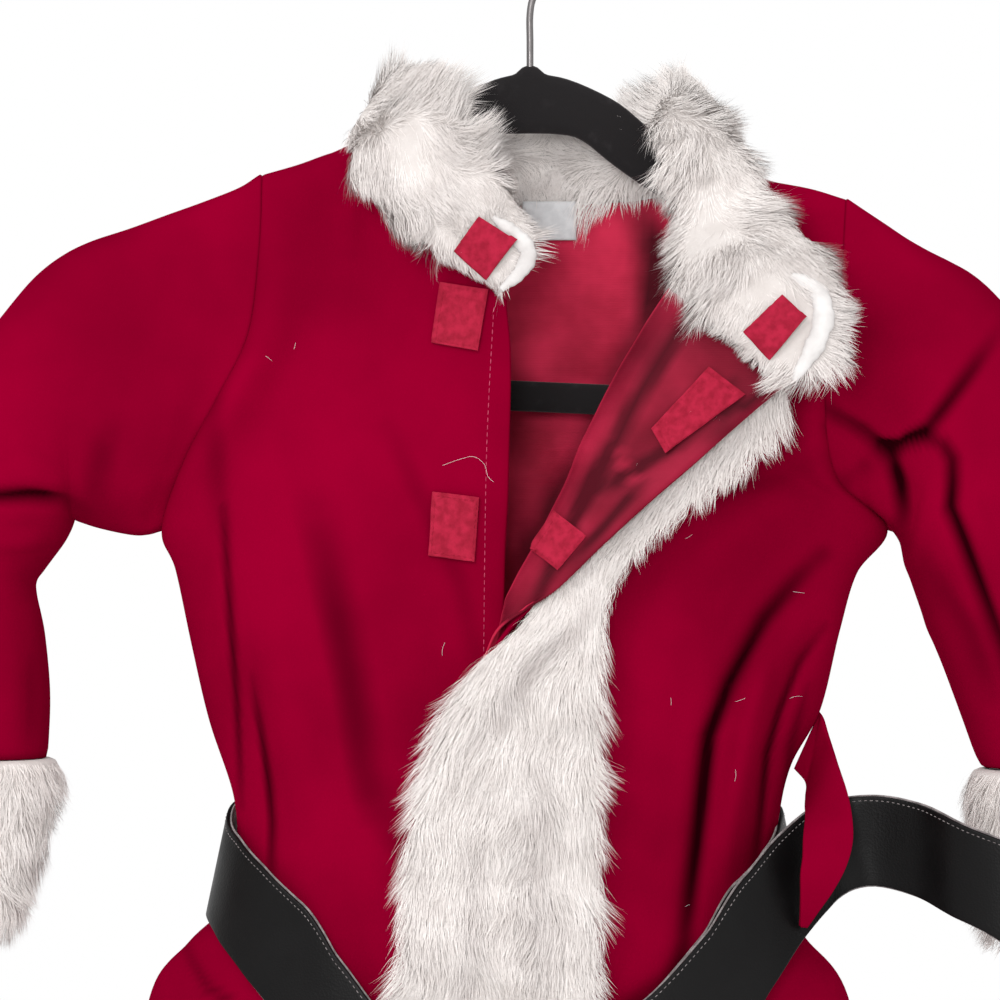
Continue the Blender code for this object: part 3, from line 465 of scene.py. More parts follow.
# %% Curves and patches
def spline(rows, places):
    """Smooth curve through a table's rows, asked at places counted in rows."""
    rows = np.array(rows, float)
    last = len(rows) - 1
    padded = np.vstack([2 * rows[0] - rows[1], rows, 2 * rows[-1] - rows[-2]])
    places = np.clip(np.array(places, float), 0, last)
    k = np.minimum(places.astype(int), last - 1)
    t = (places - k)[:, None]
    a, b, c, d = (padded[k + i] for i in range(4))
    return b + 0.5 * t * (c - a + t * (2 * a - 5 * b + 4 * c - d + t * (3 * (b - c) + d - a)))


ARC_STEPS = 600


def through(rows, count):
    """A table's whole curve, at evenly counted places."""
    return spline(rows, np.linspace(0, len(rows) - 1, count))


def at_shares(rows, shares):
    """A table's curve at shares of its length."""
    fine = through(rows, ARC_STEPS)
    run = np.concatenate([[0], np.cumsum(np.linalg.norm(np.diff(fine, axis=0), axis=1))])
    want = np.array(shares) * run[-1]
    return np.stack([np.interp(want, run, fine[:, i]) for i in range(fine.shape[1])], axis=1)


def patch(side, edge, top, hem, u, v):
    """Surface between four edges."""
    u = u[None, :, None]
    v = v[:, None, None]
    across = (1 - u) * side[:, None, :] + u * edge[:, None, :]
    down = (1 - v) * top[None] + v * hem[None]
    corners = (1 - v) * ((1 - u) * top[0] + u * top[-1]) + v * ((1 - u) * hem[0] + u * hem[-1])
    return across + down - corners


def edged(count):
    """Shares from 0 to 1 with extra ones close to both ends, for a rounded edge."""
    middle = np.linspace(0.02, 0.98, count - 6)
    return np.concatenate([[0, 0.003, 0.009], middle, [0.991, 0.997, 1]])


def normals(grid, wrap=False):
    """Unit normals of a grid of points."""
    if wrap:
        du = np.roll(grid, -1, axis=1) - np.roll(grid, 1, axis=1)
    else:
        du = np.gradient(grid, axis=1)
    dv = np.gradient(grid, axis=0)
    n = np.cross(du, dv)
    return n / np.maximum(np.linalg.norm(n, axis=2), 1e-9)[:, :, None]


def upsample(grid, rows, cols):
    """A coarse grid asked for more rows and columns."""
    down = spline(grid.reshape(len(grid), -1), np.linspace(0, len(grid) - 1, rows))
    down = down.reshape(rows, grid.shape[1], 3).transpose(1, 0, 2)
    over = spline(down.reshape(len(down), -1), np.linspace(0, len(down) - 1, cols))
    return over.reshape(cols, rows, 3).transpose(1, 0, 2)


halfway = at_shares(((0, 0), (10, 10), (20, 0)), [0.5])[0]
print("a curve through three points is halfway at", halfway.round(2))


# %% [markdown]
# Every piece becomes a mesh object the same way: points in millimetres, faces, a finish, and
# smooth shading. A Solidify modifier could thicken a sheet of cloth, but its edge would be
# square. So cloth is a thin closed skin between two matching grids, thinned at its edges so
# that they roll over softly.

# %% Meshes
def placed(name, mesh):
    """An object for a mesh. It rides with the root body."""
    obj = bpy.data.objects.new(name, mesh)
    bpy.context.collection.objects.link(obj)
    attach(obj, "root")
    return obj


def new_piece(name, points, faces, finish):
    mesh = bpy.data.meshes.new(name)
    mesh.from_pydata((np.asarray(points, float) * MM).tolist(), [], [list(f) for f in faces])
    mesh.validate()
    mesh.materials.append(finish)
    mesh.polygons.foreach_set("use_smooth", [True] * len(mesh.polygons))
    return placed(name, mesh)


def skin_faces(rows, cols, wrap):
    """Faces of a closed skin: outer grid first, inner grid after it."""
    count = rows * cols
    last = cols if wrap else cols - 1
    faces = []
    for r in range(rows - 1):
        for c in range(last):
            d = (c + 1) % cols
            q = (r * cols + c, r * cols + d, (r + 1) * cols + d, (r + 1) * cols + c)
            faces.append(q)
            faces.append(tuple(count + k for k in reversed(q)))
    for c in range(last):
        d = (c + 1) % cols
        low = (rows - 1) * cols
        faces.append((c, count + c, count + d, d))
        faces.append((low + d, count + low + d, count + low + c, low + c))
    if not wrap:
        for r in range(rows - 1):
            a, b = r * cols, (r + 1) * cols
            faces.append((b, count + b, count + a, a))
            a, b = a + cols - 1, b + cols - 1
            faces.append((a, count + a, count + b, b))
    return faces


EDGE_ROLL = 2.0         # a wall thins over this much of each edge
THINNEST = 0.25         # to this share of itself


def rolled(rows, us, length, width, wrap):
    """Share of the full wall at each point, falling off round the edges."""
    v = np.linspace(0, 1, rows) * length
    down = np.minimum(v, length - v)
    u = np.asarray(us) * width
    over = np.full(len(us), np.inf) if wrap else np.minimum(u, width - u)
    near = np.clip(np.minimum(down[:, None], over[None, :]) / EDGE_ROLL, 0, 1)
    return THINNEST + (1 - THINNEST) * np.sqrt(1 - (1 - near) ** 2)


def cloth_piece(name, grid, wall, finish, us=None, wrap=False):
    """Thin cloth whose middle is a grid of points."""
    rows, cols = grid.shape[:2]
    n = normals(grid, wrap)
    length = np.linalg.norm(np.diff(grid[:, cols // 2], axis=0), axis=1).sum()
    width = np.linalg.norm(np.diff(grid[rows // 2], axis=0), axis=1).sum()
    us = np.linspace(0, 1, cols) if us is None else us
    half = (wall / 2 * rolled(rows, us, length, width, wrap))[:, :, None]
    points = np.vstack([(grid + n * half).reshape(-1, 3), (grid - n * half).reshape(-1, 3)])
    return new_piece(name, points, skin_faces(rows, cols, wrap), finish)


def set_painted_shade(piece, painted_shade):
    """Stores the painted shade of each point of a piece: 0 none, 1 as dark as a crease gets."""
    depth = np.clip(painted_shade, 0, 1).ravel()
    store = piece.data.attributes.new("painted_shade", "FLOAT", "POINT")
    store.data.foreach_set("value", np.concatenate([depth, depth]).astype(np.float32))


def face_out(obj):
    """Turns a closed piece's faces outward."""
    work = bmesh.new()
    work.from_mesh(obj.data)
    if work.calc_volume(signed=True) < 0:
        obj.data.flip_normals()
    work.free()
    return obj


print("a skin of 3 by 3 points has", len(skin_faces(3, 3, False)), "faces")


# %% [markdown]
# ## The cut
# The tables of the jacket's edges: side seams with the armholes in their first rows, the free
# edge of the right front, the roll and the free edge of the left front, which is turned back
# as a lapel, and the shoulder and neck lines.

# %% Cutting tables
CLOTH = 2.0             # the velvet's wall, pile and all
LINING = 1.2            # the satin's wall
LINING_EASE = 2.2       # air between the two
HANGER_WALL = 5.0
LINING_ARM = 4.6        # the satin stays this far off the hanger's arms
SEAM_HALF = 1.2         # front and back stay this far from the plane between them
SIDE_RIGHT = (
    (-115, -128, -1.2, 1.2),
    (-115, -132.5, -6, 6),
    (-115.5, -159.5, -14, 12),
    (-119.5, -196.5, -23, 18),
    (-132.5, -224, -26, 20),
    (-147, -250.5, -19, 15),
    (-158, -279.5, -1.2, 1.2),
    (-152, -297, -1.2, 1.2),
    (-145, -329.5, -1.2, 1.2),
    (-137.5, -361.5, -1.2, 1.2),
    (-127, -394, -1.2, 1.2),
    (-125.5, -418.5, -1.2, 1.2),
    (-127.5, -439, -1.2, 1.2),
    (-147.5, -458.5, -1.2, 1.2),
    (-163.5, -482, -1.2, 1.2),
    (-173, -555, -1.2, 1.2),
    (-177, -632.5, -1.2, 1.2),
)
SIDE_LEFT = (
    (135.5, -138.5, -1.2, 1.2),
    (135, -143, -6, 6),
    (132.5, -168, -14, 12),
    (127.5, -198, -23, 18),
    (124, -226, -26, 20),
    (130, -258.5, -19, 15),
    (153, -279, -1.2, 1.2),
    (140, -298, -1.2, 1.2),
    (132.5, -323, -1.2, 1.2),
    (124, -357, -1.2, 1.2),
    (111.5, -380.5, -1.2, 1.2),
    (106, -404.5, -1.2, 1.2),
    (103.5, -434.5, -1.2, 1.2),
    (117.5, -455, -1.2, 1.2),
    (136.5, -482, -1.2, 1.2),
    (147, -555, -1.2, 1.2),
    (151.5, -632.5, -1.2, 1.2),
)
EDGE_RIGHT = (
    (-10, -38, -183),
    (-10, -38.5, -187),
    (-8.5, -40, -204),
    (-8.5, -42, -225),
    (-9, -43, -246),
    (-9.5, -44, -267),
    (-10.5, -45, -286),
    (-11, -46, -304.5),
    (-12, -47, -330),
    (-13, -48, -361),
    (-13, -49, -392.5),
    (-13, -50, -421.5),
    (-13, -51, -451),
    (-12, -51, -465.5),
    (-11, -51, -482),
    (-10.5, -54, -546.5),
    (-9.5, -57, -621),
)
FOLD_LEFT = (
    (61.5, -50, -180, 104, -69, -220, 11),
    (59, -50, -183.5, 102, -69, -222, 11),
    (50.5, -51, -196, 93.5, -69, -229, 11),
    (40, -52, -213.5, 81, -69, -240, 11),
    (29.5, -53, -235.5, 66.5, -70, -253, 11),
    (19, -55, -258.5, 48.5, -70, -268.5, 11),
    (8, -57, -281, 30, -69, -285.5, 10),
    (-3.5, -58, -303.5, 12, -67, -303, 8),
    (-9, -55, -320.5, -10.5, -62, -322.5, 4),
    (-4.5, -54, -361, -30.5, -56, -352.5, 0),
    (-2.5, -55, -390, -41, -57, -377.5, 0),
    (-1, -56, -419, -46, -58, -406.5, 0),
    (-0.5, -57, -448, -48.5, -59, -444, 0),
    (-0.5, -57, -465, -49, -60, -461.5, 0),
    (-0.5, -58, -481.5, -49.5, -61, -481, 0),
    (0.5, -61, -545.5, -50, -64, -545, 0),
    (1, -64, -619.5, -50, -67, -619, 0),
)
TOP_RIGHT = (
    (-114.5, -1, -128),
    (-99, -1, -123.5),
    (-85, -1, -118.5),
    (-72, -1, -115.5),
    (-64, -10, -134.5),
    (-49, -22, -153),
    (-30, -32, -169),
    (-10, -38, -183),
)
TOP_LEFT = (
    (135.5, -1, -138.5),
    (121, -1, -134),
    (105.5, -1, -131),
    (89.5, -1, -128),
    (82, -10, -141),
    (73, -22, -156.5),
    (67.5, -32, -170),
)
TOP_BACK = (
    (-115, 1, -128),
    (-99, 1, -123.5),
    (-85, 1, -118),
    (-72.5, 1, -115),
    (-58.5, 14, -132),
    (-37, 25, -138.5),
    (0, 31, -141),
    (35, 27, -139.5),
    (65, 16, -137),
    (89.5, 1, -127.5),
    (105.5, 1, -131),
    (121.5, 1, -134),
    (135.5, 1, -138.5),
)
# How far the back's middle stands out, then how both panels round off and reach their sides.
BACK_DEPTH = (30, 28, 25, 23, 23, 24, 25, 27, 29, 31, 32, 32, 33, 34, 36, 40, 43)
FRONT_ROUND = 0.62
BACK_ROUND = 0.36
ARM_REACH = 0.16
OVER_ARM = 7.0          # the cloth is lifted this much where it runs over the hanger's arm
NECK_REACH = 62.0
COARSE_ROWS = (0, 0.5, 1, 1.5, 2, 2.5, 3, 3.5, 4, 5, 6, 7, 7.5, 8, 8.4, 9, 10, 11, 12, 13, 14,
               15, 16)
print("the hem is", SIDE_LEFT[-1][0] - SIDE_RIGHT[-1][0], "mm from side to side")

# %% [markdown]
# Main folds come first: each row of these tables is a soft ridge or trough between two points,
# with its half width and height. They are the ones a hand could feel through the cloth. Cloth
# simulation would find folds of its own, but these have to lie where this jacket has them.

# %% Main folds
FOLDS_RIGHT = (
    (-141, -250, -97, -380, 15, 2.5),
    (-109, -330, -84, -430, 12, 4),
    (-127, -330, -122, -410, 10, -3),
    (-116, -345, -112, -420, 9, -4),
    (-100, -425, -60, -520, 12, 4),
    (-120, -490, -135, -632, 22, 6),
    (-70, -520, -75, -632, 20, -6),
)
FOLDS_LEFT = (
    (124, -300, 84, -342, 8, -6),
    (83, -344, 70, -432, 8, -7),
    (100, -332, 88, -400, 7, 5),
    (124, -318, 104, -360, 6, -5),
    (103, -362, 96, -420, 6, -6),
    (118, -250, 60, -300, 12, 4),
    (100, -490, 112, -632, 22, 6),
    (60, -520, 62, -632, 20, -6),
)
FOLDS_BACK = (
    (-90, -330, -70, -430, 13, 5),
    (-45, -350, -40, -440, 11, -4),
    (80, -330, 62, -430, 13, 5),
    (30, -350, 28, -440, 11, -4),
    (-95, -480, -115, -632, 24, 7),
    (-35, -490, -40, -632, 22, -6),
    (30, -490, 38, -632, 24, 7),
    (90, -490, 100, -632, 22, -6),
)


def fold_height(x, z, folds):
    """Height of the folds at points of a panel."""
    total = np.zeros_like(x)
    for x0, z0, x1, z1, half, height in folds:
        dx, dz = x1 - x0, z1 - z0
        along = ((x - x0) * dx + (z - z0) * dz) / (dx * dx + dz * dz)
        near = np.clip(along, 0, 1)
        off = np.hypot(x - x0 - near * dx, z - z0 - near * dz)
        ends = np.sin(math.pi * np.clip(0.12 + 0.76 * near, 0, 1))
        total += height * ends * np.exp(-(off / half) ** 2)
    return total


ARM_FALL = 45.0         # the lift over the hanger's arm is gone this far below the shoulder
ARM_START = 4.0


def settle(grid, deep, across, sides, top):
    """Gives a panel its depth: its middle's, swung in to its sides, and eased to its top edge."""
    depth = deep[:, None] * across[None, :]
    for edge, share in sides:
        depth = depth + edge[:, None] * share[None, :]
    fall = grid[0, :, 2][None, :] - grid[:, :, 2]
    ease = np.exp(-(fall / NECK_REACH) ** 2)
    depth = depth + (top[:, 1] - depth[0])[None, :] * ease
    way = np.sign(deep[0])
    lift = OVER_ARM * (1 - np.exp(-fall / ARM_START)) * np.exp(-(fall / ARM_FALL) ** 2)
    least = SEAM_HALF + lift
    grid[:, :, 1] = way * np.maximum(way * depth, least)
    return grid


middle_fold = fold_height(np.array([90.0]), np.array([-380.0]), FOLDS_LEFT)[0]
print("the left front's folds add up to", round(float(middle_fold), 1), "mm beside the belt loop")


# %% [markdown]
# Creases are added on top of the main folds. A crease is narrower than a fold: a trough, or a
# ridge where its height is positive, along a line of points, with a low lip on each side. Each
# row gives half its width, its height, and the line's x and z. A height map painted by hand
# would do the same, but a table of lines can be read, moved and checked.

# %% Creases
# Each crease's trough also darkens the cloth's colour as painted shade, the more the deeper it is.
CREASES_RIGHT = (
    (7.0, -1.6, ((-134, -215), (-132, -250), (-129, -290))),
    (2.8, -4.0, ((-130, -270), (-127, -318), (-124.5, -350), (-122.8, -398))),
    (3.0, -4.2, ((-118.5, -342), (-114, -366), (-110.8, -386), (-109.2, -404), (-110, -430))),
    (4.0, 1.8, ((-122, -335), (-117.5, -380), (-116, -440))),
    (12.0, 2.4, ((-124, -235), (-108, -300), (-92, -360), (-82, -410))),
    (11.0, -2.6, ((-90, -270), (-76, -340), (-66, -410))),
    (12.0, -2.0, ((-60, -390), (-40, -450), (-30, -520))),
    (9.0, 1.6, ((-70, -400), (-56, -450), (-50, -500))),
    (6.0, -1.2, ((-60, -236), (-30, -300), (-18, -350))),
    (3.6, -2.4, ((-150, -455), (-136, -474), (-104, -492))),
    (5.0, -2.0, ((-98, -480), (-112, -570))),
    (6.0, -2.2, ((-140, -490), (-158, -610))),
)
CREASES_LEFT = (
    (5.6, -6.0, ((124, -290), (114, -299), (99, -316.5), (84, -344), (75, -366),
                 (71.5, -396), (67.5, -428), (64.5, -452), (58, -474))),
    (3.2, -4.6, ((125, -321), (114, -336), (105, -357), (100, -374.5), (97, -407), (94.6, -430))),
    (4.5, 2.2, ((118, -316), (100, -335), (90, -362), (85, -396), (82, -430))),
    (3.0, -2.8, ((118, -345), (111, -370), (108, -405))),
    (12.0, 2.4, ((104, -258), (70, -300), (52, -350), (46, -430))),
    # The next row is a swag fold above the belt, and its darkness is mostly painted shadow of the
    # belt.
    (8.0, -3.4, ((88, -446), (60, -468), (30, -488), (8, -506))),
    (2.6, -2.2, ((129, -160), (130.5, -200), (131, -228))),
    (3.0, -3.6, ((124, -236), (136, -250), (144, -262))),
    (7.0, -1.6, ((60, -250), (96, -262), (122, -250))),
    (7.0, -1.8, ((50, -490), (62, -570))),
    (6.0, -2.2, ((110, -490), (128, -610))),
)
CREASES_BACK = (
    (7.0, 1.8, ((-98, -250), (-70, -300))),
    (7.0, 1.8, ((84, -255), (60, -300))),
    (8.0, -1.6, ((-60, -340), (-30, -348))),
    (8.0, -1.6, ((20, -345), (60, -336))),
    (4.5, -3.0, ((-92, -330), (-84, -380), (-64, -460))),
    (4.5, -3.0, ((84, -325), (66, -380), (48, -460))),
    (6.0, -1.8, ((-104, -330), (-94, -410))),
    (6.0, 1.8, ((0, -370), (-6, -455))),
    (6.0, -2.2, ((-70, -500), (-84, -620))),
    (6.0, -2.2, ((66, -500), (76, -620))),
    (7.0, 2.0, ((-10, -500), (-6, -620))),
    (9.0, 1.2, ((-30, -180), (-10, -230))),
    (9.0, 1.2, ((40, -175), (20, -235))),
)
FULL_SHADE_DEPTH = 5.2       # a trough this deep is as dark as a crease gets
LIP = 0.8
LIP_REACH = 1.1


def crease_height(x, z, creases):
    """Height of the creases at points of a cloth, fading out at each crease's two ends."""
    total = np.zeros_like(x)
    for half, height, line in creases:
        line = np.array(line, float)
        step = np.diff(line, axis=0)
        size = np.hypot(step[:, 0], step[:, 1])
        start = np.concatenate([[0], np.cumsum(size)])
        best = np.full(x.shape, 1e9)
        place = np.zeros_like(x)
        for (x0, z0), (dx, dz), run, begin in zip(line, step, size, start):
            near = np.clip(((x - x0) * dx + (z - z0) * dz) / run ** 2, 0, 1)
            off = np.hypot(x - x0 - near * dx, z - z0 - near * dz)
            place = np.where(off < best, begin + near * run, place)
            best = np.minimum(best, off)
        ends = np.sin(math.pi * np.clip(place / start[-1], 0.03, 0.97)) ** 0.5
        q = (best / half) ** 2
        total += height * ends * (1 - LIP * q) * np.exp(-q / LIP_REACH)
    return total


def wander(x, z, seed, height):
    """Long crossing waves of low height."""
    draw = np.random.default_rng(seed)
    total = np.zeros_like(x)
    for _ in range(7):
        angle = draw.uniform(0, math.pi)
        length = draw.uniform(34, 85)
        phase = draw.uniform(0, 2 * math.pi)
        along = x * math.cos(angle) + z * math.sin(angle) * 0.6
        total += np.sin(2 * math.pi * along / length + phase)
    return total * height / 3.0


# The rest of a crease's height is shown as painted shade in the cloth's colour.
TROUGH_SHARE = 0.55     # of a crease's height is shape, and the map of hollows shows the rest


def crease_cloth(grid, table, seed, way, inset, height=0.55):
    """Moves a panel's points out by creases and wander, less towards its edges; returns painted
    shade.
    """
    x, z = grid[:, :, 0], grid[:, :, 2]
    creases = crease_height(x, z, table)
    grid[:, :, 1] += way * (TROUGH_SHARE * creases + wander(x, z, seed, height)) * inset
    return np.clip(-creases / FULL_SHADE_DEPTH, 0, 1)


print("creases:", len(CREASES_RIGHT), len(CREASES_LEFT), len(CREASES_BACK))

# %% [markdown]
# The right front is the plain one: side seam, shoulder, neck, a straight free edge, and a hem.
# The left front runs on past its roll and turns back over itself as a lapel. The back spans
# both sides. Each is a patch between its four edges, so neighbours meet along the same lines.

# %% Front and back surfaces
def near_edges(u, v):
    """1 inside a panel, falling to 0 at its sides and its top."""
    return (4 * u * (1 - u))[None, :] ** 0.4 * np.clip(v / 0.12, 0, 1)[:, None]


def between(side, edge, top_table, u, v, way):
    """A flat panel between its two sides, its top line and a straight hem."""
    top = at_shares(top_table, u)
    top[:, 1] = way * np.maximum(way * top[:, 1], SEAM_HALF)
    hem = (1 - u)[:, None] * side[-1] + u[:, None] * edge[-1]
    return patch(side, edge, top, hem, u, v), top


def folded(grid, u, v, way, folds, creases, seed):
    """The panel with its folds and creases, and the painted shade of its creases."""
    fade = near_edges(u, v)
    grid[:, :, 1] += way * fade * fold_height(grid[:, :, 0], grid[:, :, 2], folds)
    painted_shade = crease_cloth(grid, creases, seed, way, fade)
    grid[:, :, 1] = way * np.maximum(way * grid[:, :, 1], SEAM_HALF)
    return grid, painted_shade


def front_right_surface(u, rows):
    v = rows / (len(SIDE_RIGHT) - 1)
    side = spline([(x, f, z) for x, z, f, b in SIDE_RIGHT], rows)
    edge = spline(EDGE_RIGHT, rows)
    grid, top = between(side, edge, TOP_RIGHT, u, v, -1)
    across = (1 - (1 - u) ** 2) ** FRONT_ROUND
    settle(grid, edge[:, 1], across, [(side[:, 1], np.exp(-(u / ARM_REACH) ** 2))], top)
    return folded(grid, u, v, -1, FOLDS_RIGHT, CREASES_RIGHT, 3)


ROLL_WIDTH = 9.0        # the cloth starts to turn this far before the roll's line


def front_left_surface(u, rows, lapel, creases):
    """The front from its side seam to the roll, and on over the roll to the free edge."""
    v = rows / (len(SIDE_LEFT) - 1)
    side = spline([(x, f, z) for x, z, f, b in SIDE_LEFT], rows)
    fold = spline(FOLD_LEFT, rows)
    roll, free, depth = fold[:, :3], fold[:, 3:6], fold[:, 6]
    out = free - roll
    out[:, 1] = 0
    width = np.linalg.norm(out, axis=1)
    out /= width[:, None]
    step = np.minimum(ROLL_WIDTH, 0.45 * width)
    base = roll.copy()
    base[:, 0] += ROLL_WIDTH
    base[:, 1] += depth
    turn = roll + out * step[:, None]
    turn[:, 1] -= depth
    grid, top = between(side, base, TOP_LEFT + (tuple(base[0]),), u, v, -1)
    across = (1 - (1 - u) ** 2) ** FRONT_ROUND
    settle(grid, base[:, 1], across, [(side[:, 1], np.exp(-(u / ARM_REACH) ** 2))], top)
    grid, painted_shade = folded(grid, u, v, -1, FOLDS_LEFT, creases, 5)
    strips = []
    back_step = max(1, len(u) // 11)
    for i in range(len(rows)):
        middle = 0.5 * (turn[i] + free[i])
        knots = [grid[i, -1 - back_step], grid[i, -1], roll[i], turn[i], middle, free[i]]
        strips.append(np.vstack([grid[i], spline(knots, np.linspace(1, 5, lapel + 2)[1:])]))
    return np.array(strips), np.hstack([painted_shade, np.zeros((len(rows), lapel + 1))])


def back_surface(u, rows, creases):
    v = rows / (len(SIDE_RIGHT) - 1)
    side = spline([(x, b, z) for x, z, f, b in SIDE_RIGHT], rows)
    edge = spline([(x, b, z) for x, z, f, b in SIDE_LEFT], rows)
    grid, top = between(side, edge, TOP_BACK, u, v, +1)
    deep = spline([(c,) for c in BACK_DEPTH], rows)[:, 0]
    sides = [(side[:, 1], np.exp(-(u / ARM_REACH) ** 2)),
             (edge[:, 1], np.exp(-((1 - u) / ARM_REACH) ** 2))]
    settle(grid, deep, (4 * u * (1 - u)) ** BACK_ROUND, sides, top)
    return folded(grid, u, v, +1, FOLDS_BACK, creases, 8)


LAST_ROW = len(SIDE_RIGHT) - 1
sample, _ = back_surface(np.linspace(0, 1, 5), np.linspace(0, LAST_ROW, 5), ())
print("the back stands out by", round(float(sample[:, :, 1].max()), 1), "mm at most")

# %% [markdown]
# The outer cloth is a thick velvet. A real panel is cut flat and sewn at the sides, so here
# each one is a skin of its own, 2 mm thick with pile, and the seams stay open lines. One
# welded shell would be simpler, but then no panel could be moved, measured or swapped.

# %% Velvet panels
FINE_ROWS = np.linspace(0, LAST_ROW, 190)
BACK_ROWS = np.linspace(0, LAST_ROW, 150)
FRONT_U = edged(76)
LEFT_U = edged(74)
BACK_U = edged(84)
LAPEL_COLUMNS = 26
right_grid, right_painted_shade = front_right_surface(FRONT_U, FINE_ROWS)
left_grid, left_painted_shade = front_left_surface(LEFT_U, FINE_ROWS, LAPEL_COLUMNS, CREASES_LEFT)
back_grid, back_painted_shade = back_surface(BACK_U, BACK_ROWS, CREASES_BACK)
front_right = cloth_piece("front_right_cloth", right_grid, CLOTH, VELVET, FRONT_U)
front_left = cloth_piece("front_left_cloth", left_grid, CLOTH, VELVET)
back = cloth_piece("back_cloth", back_grid, CLOTH, VELVET, BACK_U)
panels = ((front_right, "front_right", right_painted_shade), (front_left, "front_left", left_painted_shade),
          (back, "back", back_painted_shade))
for piece, node, painted_shade in panels:
    set_painted_shade(piece, painted_shade)
    face_out(piece)
    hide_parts(node)
    print(piece.name, len(piece.data.polygons))

# %% [markdown]
# The satin hangs just inside the pile cloth. It starts below the hanger's arms at the
# shoulders and stops short of the seams, and on the turned-back lapel it faces forward. It
# could be one surface with the velvet, a colour on its back, but real satin has slack of its
# own: it creases where the velvet over it doesn't.

# %% Linings
FIRST_ROW = 0.6         # a lining starts between these two rows of its panel
LOWEST_ROW = 2.6


def drawn_in(grid, clear):
    """A lining's grid, short of the panel's edges and below the hanger's arms."""
    grid = grid.copy()
    tries = np.linspace(FIRST_ROW, LOWEST_ROW, 21)
    for c in range(grid.shape[1]):
        starts = [s for s in tries if abs(spline(grid[:, c], [s])[0, 1]) >= clear]
        start = starts[0] if starts else LOWEST_ROW
        grid[:3, c] = spline(grid[:, c], start + (3 - start) * np.arange(3) / 3)
    grid[-1] += 0.2 * (grid[-2] - grid[-1])
    grid[:, 0] += 0.8 * (grid[:, 1] - grid[:, 0])
    return grid


def lining_grid(grid, y_sign, reach, last_share):
    """Grid of the lining inside a panel, at a reach from it."""
    n = normals(grid)
    n = n * (1.0 if n[len(n) // 2, 2, 1] * y_sign > 0 else -1.0)
    skin = drawn_in(grid + n * reach, HANGER_WALL / 2 + LINING_ARM)
    skin[:, -1] += last_share * (skin[:, -2] - skin[:, -1])
    return skin


LINING_TROUGH = 0.35    # of a satin crease's height is shape
LINING_SLACK = 0.5
# painted shade over the whole turned lapel's satin
LAPEL_SHADE = 0.72      # the turned lapel's satin is this much darker than the rest


def make_lining(name, coarse, y_sign, last_share, rows, cols, creases, panel_creases):
    """Satin inside a panel: it follows the panel's creases and adds its own where it shows."""
    reach = CLOTH / 2 + LINING_EASE + LINING / 2
    skin = upsample(lining_grid(coarse, y_sign, reach, last_share), rows, cols)
    n = normals(skin)
    way = 1.0 if n[len(n) // 2, cols // 4, 1] * y_sign > 0 else -1.0
    x, z = skin[:, :, 0], skin[:, :, 2]
    fade = near_edges(np.linspace(0, 1, cols), np.linspace(0, 1, rows))
    turned = np.clip(-n[:, :, 1] * way * 3, 0, 1) if y_sign > 0 else np.ones((rows, cols))
    folds = crease_height(x, z, creases) * turned
    ripples = wander(x, z * 2.2, 21, LINING_SLACK)
    ripples += wander(x * 3.1, z * 3.4, 23, LINING_SLACK * 0.3)
    skin = skin + (n * way) * ((ripples + LINING_TROUGH * folds) * fade)[:, :, None]
    shared = TROUGH_SHARE * crease_height(x, z, panel_creases) * fade * (1 - turned * (y_sign > 0))
    skin[:, :, 1] -= y_sign * shared
    piece = cloth_piece(name, skin, LINING, SATIN)
    # Painted shade: the troughs of creases and ripples darken the satin, and on the left front only
    # the turned lapel is shaded, as a whole by LAPEL_SHADE.
    shade = np.clip(-folds / 4.0 - ripples / 5.0 + LAPEL_SHADE * (y_sign > 0), 0, 1)
    set_painted_shade(piece, shade * turned)
    face_out(piece)
    return piece


CREASES_LAPEL = (
    (4.0, -1.8, ((66, -190), (40, -232), (22, -270))),
    (3.5, -1.6, ((84, -218), (60, -244), (30, -262))),
    (3.0, 1.2, ((34, -244), (44, -262))),
    (4.0, -1.8, ((30, -246), (14, -284), (0, -312))),
    (3.0, -1.4, ((46, -260), (30, -278), (16, -292))),
    (3.0, -1.4, ((98, -222), (78, -232))),
)
# The first two rows are painted shadows that the collar, the hanger and the lapel cast on the
# back's satin; they dent it a little too. The other rows are creases.
CREASES_AND_SHADOWS_INSIDE = (
    (13.0, -4.6, ((48, -138), (57, -165), (55, -200))),
    (9.0, -3.2, ((52, -180), (28, -238), (14, -262), (2, -290), (-6, -330))),
    (3.0, -1.4, ((-20, -225), (30, -228))),
    (8.0, -0.8, ((-6, -236), (20, -300))),
    (7.0, -1.6, ((-4, -268), (6, -330))),
)
coarse_rows = np.array(COARSE_ROWS, float)
coarse_left, _ = front_left_surface(np.linspace(0, 1, 15), coarse_rows, 6, ())
coarse_back, _ = back_surface(np.linspace(0, 1, 18), coarse_rows, ())
# The satin reaches the free edge on the lapel only, and stops short of it below.
LAPEL_REACH = np.interp(coarse_rows, (8.0, 8.8), (-0.05, 0.9))[:, None]
left_lining = make_lining("front_left_satin", coarse_left, +1, LAPEL_REACH, 130, 76,
                          CREASES_LAPEL, CREASES_LEFT)
back_lining = make_lining("back_satin", coarse_back, -1, 0.8, 110, 70,
                          CREASES_AND_SHADOWS_INSIDE, CREASES_BACK)
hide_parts("front_left_lining")
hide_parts("back_lining")
print("linings:", len(left_lining.data.polygons), len(back_lining.data.polygons))

# %% [markdown]
# ## Sleeves
# A sleeve is a tube whose rings go from the armhole to the cuff. Its head is sewn into the
# armhole, so its first ring dips in and under the body's edge and leaves a small groove. A
# tube bent by an armature would pinch at the elbow, while rings keep the width they are given.

